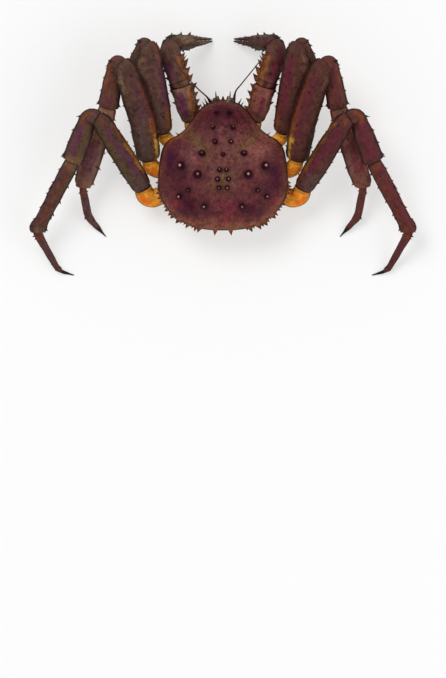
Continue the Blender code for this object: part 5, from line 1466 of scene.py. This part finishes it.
def build_head(side):
    """One side's eye, feelers and mouthpart. Their roots are sunk into the face."""

    def piece(name, line, radii, steps, sides, waves, finish, *look):
        root, *rest = line
        grid, _ = tube([(root[0], root[1] + ROOT_SUNK, root[2]), *rest], radii, steps, sides, waves)
        make_piece(f"{name}_{SIDE_NAMES[side]}", [plain_shape(grid, *look)], side, FINISHES[finish])

    root, tip = np.array((EYE_ROOT[0], FACE_Y + ROOT_SUNK, EYE_ROOT[1])), np.array(EYE_TIP)
    stalk, _ = tube([root, root + (tip - root) * 0.55, tip], (3.1, 2.7, 3.3), 10, 24)
    eye = ball_grid(tip, (EYE_RADIUS * 0.92, EYE_RADIUS, EYE_RADIUS))
    shapes = [plain_shape(stalk, SIDE_COLOURS[side]["body"], 71), plain_shape(eye, EYE_BLACK, 72, 0.0)]
    make_piece(f"eye_{SIDE_NAMES[side]}", shapes, side, FINISHES["eye"])
    rings = wavy(0.06, 1.6)
    piece("antennule", ANTENNULE, ANTENNULE_RADII, 24, 14, rings, "feeler", COLOURS["umber"], 73)
    joints = wavy(0.12, 9.0, math.pi / 2)
    piece("maxilliped", MAXILLIPED, MAXILLIPED_RADII, 24, 26, joints, "mouthpart", COLOURS["orange"], 74, 0.2,
          "ochre")
    feeler = ANTENNA_LEFT if side == LEFT else ANTENNA_RIGHT
    piece("antenna", (ANTENNA_ROOT, *feeler), ANTENNA_RADII, 60, 12, rings, "feeler", FEELER_BROWN, 75, 0.0)


def thorax_outline():
    """The left half of the thorax's outline, with a flat seat at each limb's root."""
    left = [(FACE_HALF_WIDTH, FACE_Y + JOINT_GAP)]
    for limb in (CLAW, LEGS["leg1"], LEGS["leg2"], LEGS["leg3"]):
        out = heading_vector(limb["runs"][0][1], 0)[:2]
        along = np.array((-out[1], out[0]))
        middle = np.array(limb["hip"][:2]) - out * JOINT_GAP
        half = limb["sizes"]["coxa"][0] / 2 + SEAT_MARGIN
        left += [tuple(middle - along * half), tuple(middle + along * half)]
    return left + list(THORAX_TAIL)


# The tail's first plates on the rear wall, and ribs on the wall beside them.
TAIL_PLATES_TOP, TAIL_PLATE_HEIGHT, TAIL_PLATES_HALF_WIDTH, TAIL_PLATE_RISE = 47.0, 9.0, 27.0, 3.2
TAIL_WALL_Y, WALL_FROM_Z, WALL_TO_Z = 80.0, 20.5, 46.0
WALL_RIB_STEP, WALL_RIB_RISE, THORAX_COLUMNS = 9.0, 0.9, 520
# Where the walls run out under the shell: (height, share of the way out, share of the outline).
HOOD_LEVELS = ((53.0, 1.0, 1.0), (50.0, 0.9, 1.0), (47.5, 0.45, 1.0), (45.0, 0.15, 1.0))


def build_thorax(shell):
    """The walls under the shell, parted by grooves between the limbs, and the breastplate below."""
    left = thorax_outline()
    flat = evenly(np.array(left + [(-x, y) for x, y in reversed(left)]), THORAX_COLUMNS)
    for _ in range(6):
        flat = (np.roll(flat, 1, axis=0) + flat * 2 + np.roll(flat, -1, axis=0)) / 4
    centre = np.array((0, CARAPACE_CENTRE_Y))
    angle = np.arctan2(flat[:, 1] - centre[1], flat[:, 0])
    hood = centre + np.stack([np.cos(angle), np.sin(angle)], 1) * (shell.rim(angle) * 0.9)[:, None]
    drop, narrowing = THORAX_WALL_Z - THORAX_BOTTOM_Z, 1 - THORAX_BOTTOM_SHARE
    levels = [*HOOD_LEVELS, *((z, 0.0, 1.0) for z in np.arange(43.5, THORAX_WALL_Z, -1.3))]
    levels += [(THORAX_WALL_Z - drop * k / 5, 0.0, 1 - narrowing * (k / 5) ** 1.5) for k in range(1, 6)]
    levels += [(THORAX_BOTTOM_Z - 0.1 - 0.05 * k, 0.0, THORAX_BOTTOM_SHARE - 0.1 * k) for k in range(1, 9)]
    rows = []
    for z, flare, share in levels:
        xy = centre + (flat - centre) * share
        rows.append(np.column_stack([xy + (hood - xy) * flare, np.full(len(flat), z)]))
    grid = np.array(rows)
    normals = ring_normals(grid).reshape(-1, 3)
    points, faces = capped(grid)
    normals = np.concatenate([normals, np.zeros((2, 3))])
    x, y, z = points.T
    inside = (z > WALL_FROM_Z) & (z < WALL_TO_Z)
    relief = (0.6 * noise(points, 11.0, 81) + 0.35 * granules(points, 3.2, 82, 0.5)) * inside
    relief += 0.8 * granules(points, 4.5, 88, 0.7) * (y < FACE_Y + 6) * inside
    # The tail's first plates, and ribs on the wall beside them.
    part = ((TAIL_PLATES_TOP - z) / TAIL_PLATE_HEIGHT) % 1.0
    tail = smooth((TAIL_PLATES_HALF_WIDTH - np.abs(x)) / 2.5) * (y > TAIL_WALL_Y) * inside
    relief += tail * TAIL_PLATE_RISE * (0.35 + 0.65 * smooth(part / 0.8)) * (1 - smooth((part - 0.88) / 0.12))
    ribs = 0.5 + 0.5 * np.cos(x * 2 * math.pi / WALL_RIB_STEP + 2 * noise(points, 20.0, 84))
    relief += WALL_RIB_RISE * ribs**3 * inside * (1 - tail) * smooth((y - 60) / 20)
    points = points + normals * relief[:, None]
    x, y, z = points.T
    paint = np.tile(COLOURS["cream"], (len(points), 1))
    paint = mix(paint, COLOURS["ochre"], patchy(points, 14.0, 83, 0.45, 0.5))
    paint = mix(paint, COLOURS["orange"], patchy(points, 6.0, 85, 0.35, 0.5) * 0.7)
    paint = mix(paint, COLOURS["red"], 0.65 * smooth((z - 36) / 12))
    paint = mix(paint, COLOURS["red"], 0.45 * tail * (1 - smooth(part / 0.5)))
    # A redder face, with painted shade towards its top, under the brow.
    face = smooth((FACE_Y + 9 - y) / 6) * inside
    paint = mix(paint, COLOURS["red"], face * patchy(points, 4.0, 86, 0.75, 0.4))
    paint = mix(paint, COLOURS["umber"], 0.5 * face * smooth((z - 34) / 10))
    # Painted shade in the creases between ribs and between plates, and dark mottles in the face.
    crease_shade_and_mottle = np.maximum((1 - ribs) ** 4 * (1 - tail) * 0.4, tail * smooth((part - 0.85) / 0.15))
    crease_shade_and_mottle = np.maximum(crease_shade_and_mottle, face * smooth((noise(points, 2.4, 87) - 0.25) / 0.3) * 0.8)
    paint = mix(paint, COLOURS["umber"], 0.75 * crease_shade_and_mottle * inside)
    make_piece("thorax", [Shape(points, faces, paint)], LEFT, FINISHES["belly"])


def build_abdomen():
    """The tail flap: plates that overlap towards the mouth, flat above and rounded below."""
    plate_y, plate_half = np.array(ABDOMEN_PLATES).T
    y = np.linspace(plate_y[0], plate_y[-1], ABDOMEN_ROWS)
    half = np.interp(-y, -plate_y, plate_half)
    plate = (plate_y[0] - y) / (plate_y[0] - plate_y[-1]) * (len(plate_y) - 1)
    part = plate - np.floor(plate)
    step = (0.78 + 0.22 * np.sin(np.clip(part * 1.05, 0, 1) * math.pi) ** 0.5)[:, None]
    row = np.arange(ABDOMEN_ROWS)
    ends = np.sqrt(np.clip(np.minimum(row, row[::-1]) / 8 + 0.1, 0, 1))[:, None]
    turn = np.linspace(0, math.pi, ABDOMEN_COLUMNS)
    x = half[:, None] * np.cos(turn) * (0.96 + 0.04 * step)
    z = ABDOMEN_TOP_Z - ABDOMEN_DEPTH * step * ends * np.sin(turn) ** 0.8
    points, faces = capped(np.stack([x, np.broadcast_to(y[:, None], x.shape), z], axis=-1))
    points = points + 0.15 * noise(points, 3.0, 91)[:, None] * UP
    points[:, 2] = np.minimum(points[:, 2], ABDOMEN_TOP_Z)
    paint = np.tile(COLOURS["cream"], (len(points), 1))
    paint = mix(paint, COLOURS["orange"], patchy(points, 8.0, 92, 0.4, 0.5))
    make_piece("abdomen", [Shape(points, faces, paint)], LEFT, FINISHES["belly"])


def floor_material():
    """A pale, faintly uneven studio floor that glows a little, so that shadows on it stay pale."""
    made, tree, place = new_material("floor")
    grain = noise_texture(tree, place, 240.0, 3.0)
    tone = map_range(tree, grain, 0.3, 0.7, FLOOR_TONE - 0.006, FLOOR_TONE + 0.006)
    grey = add_node(tree, "ShaderNodeCombineColor", {"Red": tone, "Green": tone, "Blue": tone}).outputs[0]
    plug(tree, tree.nodes["Principled BSDF"], {
        "Base Color": grey,
        "Roughness": 0.9,
        "Specular IOR Level": 0.1,
        "Emission Color": WHITE,
        "Emission Strength": FLOOR_GLOW,
    })
    return made


def sky_world():
    """Even white light all round, dimmer straight overhead so that the shell keeps its depth of colour."""
    world = bpy.data.worlds.new("studio")
    world.use_nodes = True
    tree = world.node_tree
    direction = add_node(tree, "ShaderNodeTexCoord").outputs["Generated"]
    height = add_node(tree, "ShaderNodeSeparateXYZ", {"Vector": direction}).outputs["Z"]
    strength = map_range(tree, height, SKY_DIM_FROM, 1.0, SKY_LIGHT, SKY_OVERHEAD)
    plug(tree, tree.nodes["Background"], {"Strength": strength, "Color": WHITE})
    return world


def build_studio():
    """The floor, soft light from the front left and the camera straight over the crab."""
    scene = bpy.context.scene
    half = FLOOR_HALF_WIDTH_M
    mesh = bpy.data.meshes.new("floor")
    corners = [(-half, -half, 0), (half, -half, 0), (half, half, 0), (-half, half, 0)]
    mesh.from_pydata(corners, [], [(0, 1, 2, 3)])
    mesh.materials.append(floor_material())
    add_object("floor", mesh)
    for name, heading, height, angle, strength in SUNS:
        light = bpy.data.lights.new(name, "SUN")
        light.energy = strength
        light.angle = math.radians(angle)
        add_object(name, light).rotation_euler = (math.radians(90 - height), 0, math.radians(heading + 90))
    scene.world = sky_world()
    camera_data = bpy.data.cameras.new("camera")
    camera_data.type = "ORTHO"
    camera_data.sensor_fit = "VERTICAL"
    camera_data.ortho_scale = PICTURE_HEIGHT * MM_PER_PIXEL * MM
    camera = add_object("camera", camera_data)
    x = (COLUMN_OF_ZERO - PICTURE_WIDTH / 2) * MM_PER_PIXEL
    y = (PICTURE_HEIGHT / 2 - ROW_OF_ZERO) * MM_PER_PIXEL - MIDDLE_Y
    camera.location = (x * MM, y * MM, CAMERA_HEIGHT * MM)
    camera.rotation_euler = (0, 0, math.pi)
    scene.camera = camera
    scene.view_settings.view_transform = "Standard"


def main():
    build_studio()
    shell = Carapace()
    build_carapace(shell)
    build_thorax(shell)
    build_abdomen()
    for side in (LEFT, RIGHT):
        build_head(side)
        build_claw(side)
        for name, limb in LEGS.items():
            build_limb(name, limb, SPINE_ROWS, CORNER_RADIUS, side)


main()
